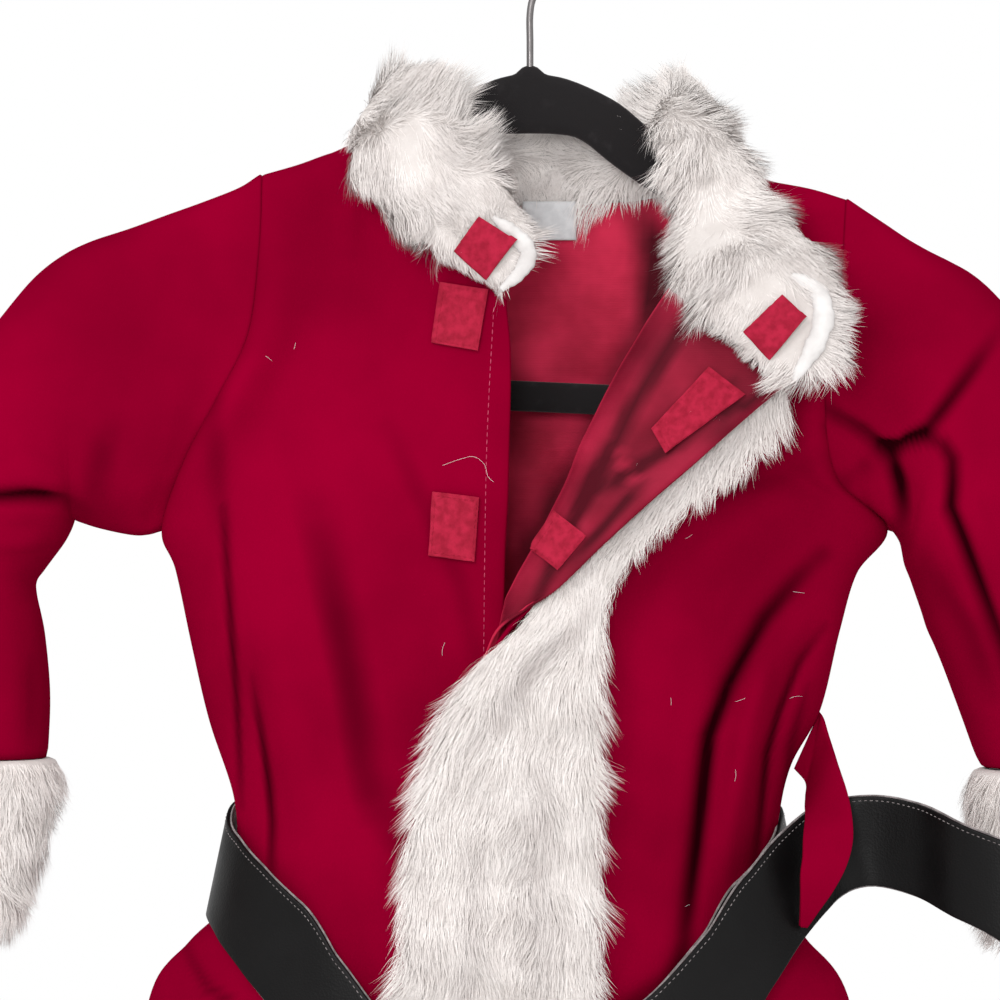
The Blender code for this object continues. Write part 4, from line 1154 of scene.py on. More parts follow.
# %% Sleeve tables
SLEEVE_RIGHT = (
    (-124.5, -133.5, -164.5, -281, 24, 18),
    (-139.5, -139.5, -172, -281, 26, 20),
    (-157.5, -146, -186, -278, 27, 21),
    (-175, -152.5, -193.5, -275.5, 28, 22),
    (-192.5, -158.5, -196.5, -274.5, 29, 23),
    (-204, -165.5, -197, -276, 30, 24),
    (-216.5, -176.5, -198, -278.5, 31, 25),
    (-228, -192, -200, -283, 31, 26),
    (-241, -209, -203.5, -288, 31, 26),
    (-257, -237, -208.5, -295, 30, 26),
    (-269, -262.5, -212.5, -300.5, 29, 26),
    (-279.5, -297, -213.5, -305.5, 28, 25),
    (-285, -327, -210, -322, 27, 25),
    (-289.5, -353, -207.5, -348.5, 27, 25),
    (-292.5, -377.5, -208.5, -377.5, 27, 25),
)
SLEEVE_LEFT = (
    (143, -143, 158, -280.5, 22, 20),
    (155, -151, 159, -282.5, 24, 21),
    (164, -157, 160, -285, 26, 22),
    (175, -163, 161, -288, 28, 23),
    (185, -168, 161.5, -293, 29, 24),
    (193.5, -174, 164, -299.5, 30, 25),
    (202, -182.5, 166.5, -306.5, 31, 26),
    (213, -194, 169.5, -315, 31, 26),
    (221.5, -209, 172.5, -324, 31, 26),
    (230, -228.5, 176.5, -332.5, 30, 26),
    (243, -267, 181, -344.5, 29, 25),
    (253.5, -310, 186, -358, 28, 25),
    (264.5, -353, 191.5, -373.5, 27, 25),
    (273, -381, 195.5, -381.5, 27, 25),
)
SLEEVE_SEAM = 0.9       # a sleeve starts this far outside its armhole
HEAD_SHARE = 0.28       # of the rings ease from the armhole's shape to the sleeve's own
ARM_STEPS = {"sleeve_right_cloth": 48, "sleeve_left_cloth": 72}
SLEEVE_ROWS = {"sleeve_right_cloth": 126, "sleeve_left_cloth": 144}


def arm_loop(side_table, outward, steps):
    """Points round an armhole: down the front edge, then up the back edge."""
    line = spline(side_table, np.linspace(0, 6, steps + 1))
    front = np.stack([line[:, 0], line[:, 2], line[:, 1]], axis=1)
    back = np.stack([line[:, 0], line[:, 3], line[:, 1]], axis=1)
    front[0, 1] = back[0, 1] = front[-1, 1] = back[-1, 1] = 0
    loop = np.vstack([front, back[-2:0:-1]])
    loop[:, 0] += outward
    return loop


def sleeve_rings(side_table, table, outward, half, count=16):
    """Rings of a sleeve from armhole to cuff, each with twice the half count of points."""
    loop = arm_loop(side_table, outward * SLEEVE_SEAM, half)
    angle = np.array([math.pi * i / half for i in range(2 * half)])
    top, low = loop[0], loop[half]
    fine = through(table, count)
    rings = [loop]
    first = len(fine) * HEAD_SHARE
    drop = (low - top)[[0, 2]]
    share = np.clip((loop - top)[:, (0, 2)] @ drop / np.sum(drop ** 2), 0, 1)
    sway = (loop - top - share[:, None] * (low - top))[:, (0, 2)]
    for i, (tx, tz, bx, bz, front, back_depth) in enumerate(fine):
        keep = max(0.0, 1 - (i + 1) / first)
        down = keep * share + (1 - keep) * (1 - np.cos(angle)) / 2
        ring = np.zeros((2 * half, 3))
        ring[:, 0] = tx + down * (bx - tx) + keep * sway[:, 0]
        ring[:, 2] = tz + down * (bz - tz) + keep * sway[:, 1]
        deep = np.where(np.arange(2 * half) <= half, -front, back_depth)
        own = (1 - keep) * deep * np.abs(np.sin(angle)) ** 0.85
        ring[:, 1] = own + keep * loop[:, 1] * (front / 24.0)
        rings.append(ring)
    return np.array(rings)


CREASES_SLEEVE_RIGHT = (
    (5.0, -5.2, ((-185, -277), (-192, -271), (-199, -265.5), (-212, -265), (-228, -265.5),
                 (-246, -269))),
    (5.0, 2.6, ((-194, -262), (-216, -254))),
    (5.0, 3.0, ((-204, -284), (-230, -285))),
    (8.0, -2.6, ((-188, -276), (-180, -240))),
    (8.0, 1.8, ((-168, -262), (-160, -220))),
    (8.0, -2.4, ((-236, -278), (-230, -340))),
    (7.0, 2.0, ((-222, -320), (-218, -372))),
    (5.0, -2.4, ((-212, -330), (-214, -374))),
)
CREASES_SLEEVE_LEFT = (
    (5.0, -4.6, ((116, -222), (131, -232.5), (141.4, -238.3), (149, -244.5), (157, -244.4),
                 (168.9, -236), (177.3, -224.7), (190, -207), (203, -190))),
    (4.8, -5.4, ((154, -246), (160, -242.4), (166.8, -241.2), (174.4, -243.4), (178.4, -250),
                 (178.6, -260), (177.8, -271), (183.7, -286), (190, -303), (196.3, -320),
                 (204, -342), (211, -366))),
    (5.4, -8.0, ((149.5, -246), (154, -252), (157, -262), (158.5, -272), (158, -286))),
    (7.0, -3.8, ((128, -263), (136, -257), (146, -250))),
    (5.0, -3.4, ((122, -254), (127, -267), (140, -275), (153, -279))),
    (5.0, 2.6, ((165, -248), (168, -262), (166, -282))),
    (7.0, 2.2, ((130, -243), (142, -262), (150, -276))),
    (7.0, -2.8, ((164, -288), (174, -304), (186, -322), (196, -350))),
    (9.0, 2.2, ((192, -232), (212, -290))),
    (10.0, 2.0, ((216, -262), (236, -320))),
)


HEAD_DIP = ((-1.2, 3.0), (-1.0, 1.2), (-0.5, 0.3))      # out of the armhole, in to the middle


def make_sleeve(name, side_table, table, outward, creases, seed):
    """A velvet sleeve with its creases, and the rings that its cuff is sewn to."""
    rings = sleeve_rings(side_table, table, outward, ARM_STEPS[name])
    count = SLEEVE_ROWS[name]
    head, rest = np.linspace(0, 2, 22)[:-1], np.linspace(2, len(rings) - 1, count - 21)
    places = np.concatenate([head, rest])
    fine = spline(rings.reshape(len(rings), -1), places).reshape(count, -1, 3)
    centre = fine.mean(axis=1, keepdims=True)
    out = fine - centre
    out /= np.maximum(np.linalg.norm(out, axis=2), 1e-6)[:, :, None]
    x, z = fine[:, :, 0], fine[:, :, 2]
    folds = crease_height(x, z, creases)
    fade = np.clip(np.arange(count) / 8.0, 0, 1)[:, None]
    face = np.clip(np.abs(out[:, :, 1]) * 1.6, 0, 1)
    moved = TROUGH_SHARE * folds + wander(x, z, seed, 0.7)
    fine = fine + out * (moved * fade * face)[:, :, None]
    dip = np.zeros((len(HEAD_DIP), *fine.shape[1:]))
    for k, (back_off, inward) in enumerate(HEAD_DIP):
        dip[k] = fine[0] - out[0] * inward
        dip[k, :, 0] += outward * back_off
    piece = cloth_piece(name, np.vstack([dip, fine]), CLOTH, VELVET, wrap=True)
    # Painted shade in the groove where the sleeve's head dips under the body's edge.
    groove_shade = np.full((len(HEAD_DIP), fine.shape[1]), 0.4)
    set_painted_shade(piece, np.vstack([groove_shade, -folds * face / FULL_SHADE_DEPTH]))
    face_out(piece)
    return piece, fine


sleeve_right, right_rings = make_sleeve("sleeve_right_cloth", SIDE_RIGHT, SLEEVE_RIGHT, -1,
                                        CREASES_SLEEVE_RIGHT, 31)
sleeve_left, left_rings = make_sleeve("sleeve_left_cloth", SIDE_LEFT, SLEEVE_LEFT, +1,
                                      CREASES_SLEEVE_LEFT, 37)
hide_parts("sleeve_right")
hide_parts("sleeve_left")
print("sleeves:", len(sleeve_right.data.polygons), len(sleeve_left.data.polygons))

# %% [markdown]
# ## Fur
# The ground of a fur piece is a plain padded band. On it stand thousands of strands, each a
# narrow blade that bends as it goes. Blender's own hair would be thinner, but it doesn't travel
# to other programs as these blades do. Strands lean together into tufts, which is what makes
# fur look like fur rather than grass. Each blade takes its shading from the band under it, so
# the pile reads as one soft mass.

# %% Strands
def unit(v):
    return v / np.maximum(np.linalg.norm(v, axis=1), 1e-9)[:, None]


def sow(points, rings, count, seed):
    """Random roots on a grid of points by area, each with its normal, its shares down and over
    the grid and its ring. The normals point away from the middle of their ring."""
    rows, cols = points.shape[:2]
    a, b = points[:-1, :-1], points[:-1, 1:]
    c, d = points[1:, 1:], points[1:, :-1]
    upper_half = np.linalg.norm(np.cross(b - a, d - a), axis=2)
    lower_half = np.linalg.norm(np.cross(b - c, d - c), axis=2)
    area = 0.5 * (upper_half + lower_half)
    draw = np.random.default_rng(seed)
    pick = draw.choice(area.size, size=count, p=(area / area.sum()).ravel())
    r, q = np.divmod(pick, cols - 1)
    s, t = draw.random(count), draw.random(count)

    def blend(g):
        total = ((1 - s) * (1 - t))[:, None] * g[r, q]
        total += ((1 - s) * t)[:, None] * g[r, q + 1]
        total += (s * t)[:, None] * g[r + 1, q + 1]
        return total + (s * (1 - t))[:, None] * g[r + 1, q]

    place, normal = blend(points), unit(blend(normals(points)))
    down, over = (r + s) / (rows - 1), (q + t) / (cols - 1)
    ring = np.minimum((down * (rows - 1)).astype(int), rows - 1)
    inside = np.einsum("ij,ij->i", normal, place - rings.mean(axis=1)[ring]) < 0
    return place, normal * np.where(inside, -1, 1)[:, None], down, over, ring, draw


def stir(place, seed, short, long, waves=9):
    """Smooth random vector at each place: fur parts and swirls by it."""
    draw = np.random.default_rng(seed)
    total = np.zeros_like(place)
    for _ in range(waves):
        way = draw.normal(0, 1, 3)
        way *= 2 * math.pi / draw.uniform(short, long) / np.linalg.norm(way)
        total += np.sin(place @ way + draw.uniform(0, 2 * math.pi))[:, None] * draw.normal(0, 1, 3)
    return total / math.sqrt(waves)


STRAND = 0.25           # width of a strand at its root
TUFT = 60               # strands in a tuft
BIG_TUFT = 7            # tufts in a lock
GRAVITY = np.array([0.0, 0.0, -1.0])
FUR_GLOW = np.array([-0.10, -0.40, 0.30])       # the pile's shading leans this way: up and front
BLADE_POINTS = 5
BLADE_CORNERS = 7


def tuft_ends(root, tip, spacing, pull, draw):
    """Draws each strand's tip towards the tip of the nearest tuft's leader."""
    leaders = draw.choice(len(root), size=max(20, int(len(root) / spacing)), replace=False)
    tree = kdtree.KDTree(len(leaders))
    for i, k in enumerate(leaders):
        tree.insert(root[k], i)
    tree.balance()
    nearest = np.array([leaders[tree.find(p)[1]] for p in root])
    hold = (pull * draw.uniform(0.2, 1.0, len(root)))[:, None]
    return tip + (root[nearest] + (tip[nearest] - root[nearest]) * 1.06 - tip) * hold


def blade_mesh(name, points, soft):
    """Blades of five points each: two at the root, two half way and the tip."""
    count = len(soft)
    base = (np.arange(count) * BLADE_POINTS)[:, None]
    quads = base + np.array([0, 1, 3, 2])
    tips = base + np.array([2, 3, 4])
    mesh = bpy.data.meshes.new(name)
    mesh.vertices.add(count * BLADE_POINTS)
    mesh.vertices.foreach_set("co", (points * MM).ravel())
    corners = np.concatenate([quads, tips], axis=1).ravel()
    mesh.loops.add(len(corners))
    mesh.loops.foreach_set("vertex_index", corners)
    starts = (np.arange(count) * BLADE_CORNERS)[:, None] + np.array([0, 4])
    mesh.polygons.add(count * 2)
    mesh.polygons.foreach_set("loop_start", starts.ravel())
    mesh.polygons.foreach_set("use_smooth", [True] * (count * 2))
    mesh.update(calc_edges=True)
    mesh.normals_split_custom_set_from_vertices(np.repeat(soft, BLADE_POINTS, axis=0).tolist())
    return mesh


def grow_fur(name, root, normal, flow, length, lift, pull, draw, creases=(), painted_dim=0.0,
             glow=FUR_GLOW):
    """Blades from roots: up along the normal first, then over along the flow, in tufts."""
    count = len(root)
    length, lift = np.broadcast_to(length, count), np.broadcast_to(lift, count)
    jitter = draw.normal(0, 1, (count, 3))
    swirl = stir(root, 5, 16.0, 45.0)
    first = unit(normal * lift[:, None] + flow + jitter * 0.16 + swirl * 0.22)
    second = unit(flow + normal * (lift * 0.25)[:, None] + jitter * 0.22 + swirl * 0.34)
    reach = (length * draw.uniform(0.6, 1.15, count))[:, None]
    middle = root + first * reach * 0.45
    tip = middle + second * reach * 0.55
    tip = tuft_ends(root, tip, TUFT, pull, draw)
    tip = tuft_ends(root, tip, TUFT * BIG_TUFT, pull * 0.6, draw)
    middle = 0.5 * middle + 0.5 * (root + (tip - root) * 0.45 + normal * reach * 0.06)
    soft = unit(normal + 0.12 * jitter + 0.22 * swirl + glow)
    side = unit(np.cross(tip - root, normal + jitter * 0.4))
    # A blade is turned so that its front and its shading agree, or its tip would go dark.
    facing = np.einsum("ij,ij->i", np.cross(side, tip - root), soft)
    side *= np.where(facing < 0, -1, 1)[:, None]
    w = (STRAND * draw.uniform(0.7, 1.3, count))[:, None]
    points = np.stack([root - side * w / 2, root + side * w / 2, middle - side * w * 0.42,
                       middle + side * w * 0.42, tip], axis=1).reshape(-1, 3)
    mesh = blade_mesh(name, points, soft)
    mesh.materials.append(FUR)
    # Painted shade: each strand's colour darkens with the creases under its root and with its
    # dimming.
    shade = np.clip(painted_dim - crease_height(root[:, 0], root[:, 2], creases) / FULL_SHADE_DEPTH, 0, 1)
    depth = mesh.attributes.new("painted_shade", "FLOAT", "POINT")
    depth.data.foreach_set("value", np.repeat(shade, BLADE_POINTS))
    obj = placed(name, mesh)
    return obj


print("a strand is", STRAND, "mm wide, and a lock holds", TUFT * BIG_TUFT, "strands")

# %% [markdown]
# The collar and the front band are bands swept along two lines: where they are sewn on, and
# their free edge. Each row holds one point of either line, and the front band's depth as well.
# Sweeping one section along one line couldn't turn the band over on itself as the collar is.

# %% Fur tables
COLLAR = (
    (-13, -42, -179.5, 3, -38.5, -156),
    (-34, -41, -167, -13.5, -37.5, -128.5),
    (-51, -37, -155, -28.5, -32.5, -104),
    (-64.5, -27, -141, -38, -24, -84),
    (-73.5, -17, -129, -49, -14, -79),
    (-75, -2, -111.5, -59.5, -3, -76.5),
    (-68.5, 13, -120.5, -56, 8.5, -78),
    (-58, 19, -131.5, -50, 17, -81),
    (-37, 27, -136, -32.5, 27, -89),
    (0, 33, -139.5, 0, 33, -98),
    (33.5, 29, -138.5, 29.5, 26, -96),
    (61, 21, -131.5, 40.5, 14.5, -87),
    (79, 11, -125, 53, 0, -84),
    (85, -4, -118.5, 63, -10.5, -85),
    (58, -16, -111, 70.5, -18, -90),
    (57.5, -20, -123.5, 85, -26.5, -104),
    (61, -28, -138.5, 96.5, -35.5, -121.5),
    (62, -38, -153.5, 101.5, -43.5, -138),
    (61, -48, -167.5, 112.5, -51.5, -153.5),
    (68, -72, -188, 122.5, -69, -170),
    (84.5, -75, -203.5, 129, -73, -189),
    (102.5, -75, -219, 128.5, -73, -209),
)
PLACKET = (
    (107.5, -59, -224, 79.5, -57, -193, 7),
    (105, -59, -235.5, 68.5, -57, -205.5, 8),
    (97.5, -59, -243.5, 58.5, -57, -222, 8),
    (86, -60, -254.5, 48.5, -58, -241, 8),
    (71, -60, -266, 38, -59, -260.5, 8),
    (53.5, -61, -280, 25.5, -60, -280.5, 8),
    (38, -61, -297, 12, -60, -302, 7),
    (31.5, -63, -312.5, 0.5, -63, -319.5, 7),
    (29.5, -65, -336.5, -18.5, -64, -336.5, 9),
    (28.5, -66, -364.5, -35.5, -66, -361.5, 13),
    (28.5, -66, -391.5, -47.5, -66, -387, 13),
    (28.5, -66, -418, -52.5, -67, -412, 12),
    (28.5, -66, -447, -54.5, -67, -445, 12),
    (28, -66, -474, -55.5, -67, -474, 10),
    (27.5, -66, -495, -56, -67, -494.5, 6),
    (27.5, -67, -528, -56, -68, -527.5, 6),
    (27.5, -71, -552, -56, -73, -551.5, 12),
    (27.5, -73, -584.5, -56, -75, -584.5, 13),
    (27.5, -75, -615, -56, -77, -615, 13),
)
COLLAR_PAD_RIGHT = ((-21.5, -148.5), (-6, -158.5), (-18, -174), (-31.5, -162))
COLLAR_PAD_LEFT = ((87.5, -197.5), (98.5, -209), (112.5, -192), (103, -183))
# A band's section: how far across, and how far out of its middle as a share of its depth.
BAND_SECTION = (
    (0.0, 0.0), (0.02, 0.28), (0.1, 0.42), (0.28, 0.5),
    (0.5, 0.52), (0.72, 0.5), (0.9, 0.42), (0.98, 0.28),
    (1.0, 0.0), (0.98, -0.28), (0.9, -0.42), (0.72, -0.5),
    (0.5, -0.52), (0.28, -0.5), (0.1, -0.42), (0.02, -0.28),
)


def band_rings(table, thick, count, inset, drawn=0.0):
    """Rings round a band, and the way across it at each."""
    fine = through(table, count)
    seam, free = fine[:, :3], fine[:, 3:6]
    across = free - seam
    along = np.gradient(0.5 * (seam + free), axis=0)
    n = unit(np.cross(across, along))
    depth = np.full(count, thick) if np.isscalar(thick) else thick
    rings = []
    for s, h in BAND_SECTION:
        place = inset + (1 - 2 * inset - drawn) * s
        out = n * (depth * h)[:, None]
        rings.append(seam + across * np.broadcast_to(place, count)[:, None] + out)
    return np.array(rings).transpose(1, 0, 2), unit(across)


def band_faces(rows, cols, base=0):
    """Faces through rings of points, with both ends closed."""
    faces = []
    for r in range(rows - 1):
        for c in range(cols):
            d = (c + 1) % cols
            faces.append((r * cols + c, r * cols + d, (r + 1) * cols + d, (r + 1) * cols + c))
    faces.append(range(cols - 1, -1, -1))
    faces.append(range((rows - 1) * cols, rows * cols))
    return [tuple(base + k for k in face) for face in faces]


def closed_band(name, rings, finish):
    """A piece through rings of points."""
    faces = band_faces(*rings.shape[:2])
    return face_out(new_piece(name, rings.reshape(-1, 3), faces, finish))


def round_rings(line, width, sides, flat=1.0):
    """Rings of points round a line, as wide as its width there and flatter in depth."""
    way = unit(np.gradient(line, axis=0))
    wide = unit(np.cross(way, np.array([0.0, 1.0, 0.0])))
    deep = flat * np.cross(wide, way)
    turn = np.linspace(0, 2 * math.pi, sides, endpoint=False)[None, :, None]
    spread = np.cos(turn) * wide[:, None] + np.sin(turn) * deep[:, None]
    return line[:, None] + np.reshape(width, (-1, 1, 1)) / 2 * spread


print("the collar has", len(COLLAR), "pairs of points, and the front band", len(PLACKET))

# %% [markdown]
# The front band of fur runs along the lapel's free edge and on down the left front. Its strands
# lie flat and long, for the pile is brushed down, and part a little along its middle. Fur can't
# be creased strand by strand, so a table like the cloth's paints shade on them where the band
# bends.

# %% Front band
CREASES_BAND = (
    (5.0, -2.6, ((28, -305), (21, -316), (8, -328), (-8, -343), (-22, -362))),
    (9.0, -1.2, ((4, -360), (2, -420), (6, -480))),
    (7.0, -1.2, ((-22, -400), (-26, -460), (-24, -520))),
    (5.0, -1.4, ((70, -236), (52, -258), (38, -280))),
)
PLACKET_STRANDS = 55000
BAND_ROWS = 120
BAND_PADDING = 0.8      # share of the band's depth that its ground fills
BAND_INSET = 0.03
BAND_LIFT = 0.30
# painted shade over the whole front band
BAND_PAINTED_DIM = 0.08
LAPEL_ROWS = 10         # rows of the table beside the turned lapel, where the band wraps its edge
WRAP = (-3.6, -2.6, 2.4)
FACE_POINTS = len(BAND_SECTION) // 2 + 1        # of a ring lie on the band's front
band_table = [list(row) for row in PLACKET]
for row in band_table[:LAPEL_ROWS]:
    row[3:6] = [row[3] + WRAP[0], row[4] + WRAP[1], row[5] + WRAP[2]]
placket_thick = through(PLACKET, BAND_ROWS)[:, 6]
rings, across = band_rings(band_table, placket_thick * BAND_PADDING, BAND_ROWS, BAND_INSET)
placket_ground = closed_band("placket_ground", rings, FUR_GROUND)
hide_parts("placket")
face = rings[:, :FACE_POINTS]
width = np.linalg.norm(face[:, -1] - face[:, 0], axis=1)
along = unit(np.gradient(rings.mean(axis=1), axis=0))
place, normal, down, over, row, draw = sow(face, rings, PLACKET_STRANDS, 51)
parting = np.where(over < 0.5, (over - 0.42) * 1.0, (over - 0.58) * 1.1)
parting += 0.8 * (np.clip((over - 0.8) / 0.2, 0, 1) - np.clip((0.2 - over) / 0.2, 0, 1))
flow = unit(along[row] + GRAVITY * 0.5 + across[row] * parting[:, None])
length = np.clip(width[row] * 0.32, 7.0, 17.0)
placket_fur = grow_fur("placket_fur", place, normal, flow, length, BAND_LIFT, 0.45, draw,
                       CREASES_BAND, BAND_PAINTED_DIM)
print("front band strands:", PLACKET_STRANDS)

# %% [markdown]
# The collar stands up behind the neck, opens over the shoulders, and lies flat at both fronts.
# Its strands leave its crest upwards and lean in towards the neck. Around the tape patches they
# are short, because there the fur is pressed down and shorn. Cutting holes in the fur would be
# easier, but would leave hard edges where real pile just gets shorter.

# %% Collar
def keep_clear(place, quads, reach):
    """True for roots that don't stand in front of a patch or just above it."""
    clear = np.ones(len(place), bool)
    for quad in quads:
        c = np.array(quad, float)
        side_a, side_b = c[1] - c[0], c[3] - c[0]
        a = (place[:, (0, 2)] - c[0]) @ side_a / (side_a @ side_a)
        b = (place[:, (0, 2)] - c[0]) @ side_b / (side_b @ side_b)
        ease_a, ease_b = reach / np.linalg.norm(side_a), reach / np.linalg.norm(side_b)
        inside = (a > -ease_a) & (a < 1 + 0.3 * ease_a)
        inside &= (b > -ease_b) & (b < 1 + 0.3 * ease_b)
        clear &= ~(inside & (place[:, 1] < 0))
    return clear


COLLAR_STRANDS = 64000
COLLAR_ROWS = 160
COLLAR_PADDING = 15.0
COLLAR_INSET = 0.02
COLLAR_DRAWN = 0.18     # share by which the ground stops short of the edge that strands reach
COLLAR_LENGTH = 12.5
SHORT_SHARE = 0.42      # shorn strands are this much of a full one
PAD_CLEAR = 0.8         # strands stand off a patch by this much
SHORT_REACH = 15.0      # and are short over this much more
CORNER = (-76.0, -82.0)      # the crest over the right shoulder leans in, towards the neck
CORNER_REACH = 26.0
CORNER_SHIFT = np.array([8.0, 0.0, -3.5])
CREST_FOOT = -115.0     # above this strands turn up and in, fully so after the rise
CREST_RISE = 30.0
CREST_UP = np.array([0.0, 0.0, 1.1])
CREST_IN = np.array([-0.7, 0.0, 0.0])
UPPER_FOOT = -150.0     # and above this the pile's shading turns further to the front
UPPER_RISE = 45.0
UPPER_GLOW = np.array([0.0, -1.2, 0.3])
collar_share = np.linspace(0, 1, COLLAR_ROWS)
from_end = np.minimum(collar_share, 1 - collar_share)
collar_drawn = COLLAR_DRAWN * np.clip(from_end / 0.2 - 0.5, 0, 1)
rings, across = band_rings(COLLAR, COLLAR_PADDING, COLLAR_ROWS, COLLAR_INSET, collar_drawn)
from_corner = np.hypot(rings[:, :, 0] - CORNER[0], rings[:, :, 2] - CORNER[1])
rings = rings + np.exp(-(from_corner / CORNER_REACH) ** 2)[:, :, None] * CORNER_SHIFT
collar_ground = closed_band("collar_ground", rings, FUR_GROUND)
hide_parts("collar")
loop = np.concatenate([rings, rings[:, :1]], axis=1)
along = unit(np.gradient(rings.mean(axis=1), axis=0))
place, normal, down, over, row, draw = sow(loop, rings, COLLAR_STRANDS, 61)
corners_round = len(BAND_SECTION)
section_share = np.interp(over * corners_round, np.arange(corners_round + 1),
                          [s for s, h in BAND_SECTION] + [0.0])
downhill = along[row] * np.where(along[row][:, 2:3] > 0, -1, 1)
flow = unit(across[row] * ((section_share - 0.5) * 1.7)[:, None] + downhill * 0.5
            + GRAVITY * 0.25 + stir(place, 13, 22.0, 60.0) * 0.26)
crest = np.clip((place[:, 2] - CREST_FOOT) / CREST_RISE, 0, 1)[:, None]
flow = unit(flow + crest * (CREST_UP + CREST_IN * np.sign(place[:, :1])
                            + across[row] * ((section_share - 0.5) * 1.2)[:, None]))
pads = (COLLAR_PAD_RIGHT, COLLAR_PAD_LEFT)
clear = keep_clear(place, pads, PAD_CLEAR)
short = ~keep_clear(place, pads, PAD_CLEAR + SHORT_REACH)
uneven = np.clip(1 + 0.32 * stir(place, 17, 14.0, 40.0)[:, 0], 0.55, 1.7)
length = COLLAR_LENGTH * uneven * np.where(short, SHORT_SHARE, 1.0)
length *= 1 + 0.25 * crest[:, 0]
lift = np.where(short, 0.15, 0.42)
# The collar's two front ends are dimmed with painted shade; its back, behind the neck, is not.
painted_dim = 0.3 * np.clip((np.abs(down - 0.5) - 0.15) / 0.3, 0, 1)
upper = np.clip((place[:, 2:3] - UPPER_FOOT) / UPPER_RISE, 0, 1)
glow = FUR_GLOW + upper * UPPER_GLOW
collar_fur = grow_fur("collar_fur", place[clear], normal[clear], flow[clear], length[clear],
                      lift[clear], 0.5, draw, (), painted_dim[clear], glow[clear])
print("collar strands:", COLLAR_STRANDS)

# %% [markdown]
# Each front end of the collar shows its smooth turned edge as a soft pale roll: the knitted
# ground is folded over there and has hardly any pile. Combing strands flat would still look
# hairy, so it is a tapered tube, and each of its rings is dropped on the collar's ground.

# %% Collar's turned edge
# Each point is x, z and the roll's thickness there.
ROLL_LEFT_END = ((107, -174.5, 2.0), (112, -177, 5.4), (118, -182, 7.6), (120, -191, 8.8),
                 (118.5, -198, 8.4), (115, -206, 7.6), (107.5, -218, 3.0))
ROLL_RIGHT_END = ((-16, -148.5, 2.0), (-11, -152.5, 5.6), (-5.6, -157, 7.0), (-1, -163.7, 7.2),
                  (-4.5, -171.7, 6.2), (-12.5, -179, 2.6))
ROLL_RINGS = 60
ROLL_SIDES = 18
ROLL_SMOOTH = 6
ROLL_OUT = 1.0
ROLL_FLAT = 0.62
RAY_START = -0.3        # metres, in front of everything


def search_tree(piece):
    """Tree for finding where a line meets a piece."""
    points = [v.co.copy() for v in piece.data.vertices]
    return BVHTree.FromPolygons(points, [tuple(p.vertices) for p in piece.data.polygons])


def front_depth(tree, x, z):
    """How far back the first surface lies behind a point, or nan where there is none."""
    hit = tree.ray_cast(Vector((x * MM, RAY_START, z * MM)), Vector((0, 1, 0)))[0]
    return hit.y / MM if hit is not None else np.nan


def turned_edge(name, line, over, phase):
    """A soft tapered roll lying on the front of a piece."""
    fine = at_shares(line, np.linspace(0, 1, ROLL_RINGS))
    tree = search_tree(over)
    depth = np.array([front_depth(tree, x, z) for x, z, thick in fine])
    known = ~np.isnan(depth)
    depth = np.interp(np.arange(ROLL_RINGS), np.arange(ROLL_RINGS)[known], depth[known])
    span = 2 * ROLL_SMOOTH + 1
    depth = np.convolve(np.pad(depth, ROLL_SMOOTH, mode="edge"), np.ones(span) / span, mode="valid")
    middle = np.stack([fine[:, 0], depth - ROLL_OUT, fine[:, 1]], axis=1)
    steps = np.arange(ROLL_RINGS)
    bumps = 1 + 0.07 * np.sin(steps * 0.5 + phase) + 0.05 * np.sin(steps * 1.3 + 2 * phase)
    rings = round_rings(middle, fine[:, 2] * bumps, ROLL_SIDES, ROLL_FLAT)
    piece = closed_band(name, rings, TURNED_EDGE)
    return piece


roll_left_end = turned_edge("collar_roll_left", ROLL_LEFT_END, collar_ground, 0.0)
roll_right_end = turned_edge("collar_roll_right", ROLL_RIGHT_END, collar_ground, 2.0)
print("turned edges:", roll_left_end.name, "and", roll_right_end.name)

# %% [markdown]
# A cuff is a short wide tube of fur. It leans the way the hanging sleeve does and narrows a
# little at its foot. A plain cylinder wouldn't meet the sleeve's uneven end, so the cuff takes
# over the sleeve's last ring. Its strands hang straight down.

# %% Cuffs
CUFF_LENGTH = 72.0
CUFF_STRANDS = {"cuff_right": 20000, "cuff_left": 15000}
CUFF_ROWS = 20
CUFF_GAP = {"cuff_right": 0.4, "cuff_left": 0.9}        # between the sleeve's end and the cuff
CUFF_SWEEP = {"cuff_right": (-16, 0.90), "cuff_left": (5, 0.94)}        # lean, and foot's size
CUFF_PILE = 13.0
CUFF_LIFT = 0.4
# Share of the way down, padding outside the sleeve's line, and wall inside it.
CUFF = ((0.0, 2.0, 1.6), (0.03, 5.5, 1.8), (0.15, 7.5, 2.0), (0.5, 8.0, 2.0), (0.85, 7.0, 1.8),
        (0.97, 5.0, 1.8), (1.0, 2.5, 1.6))


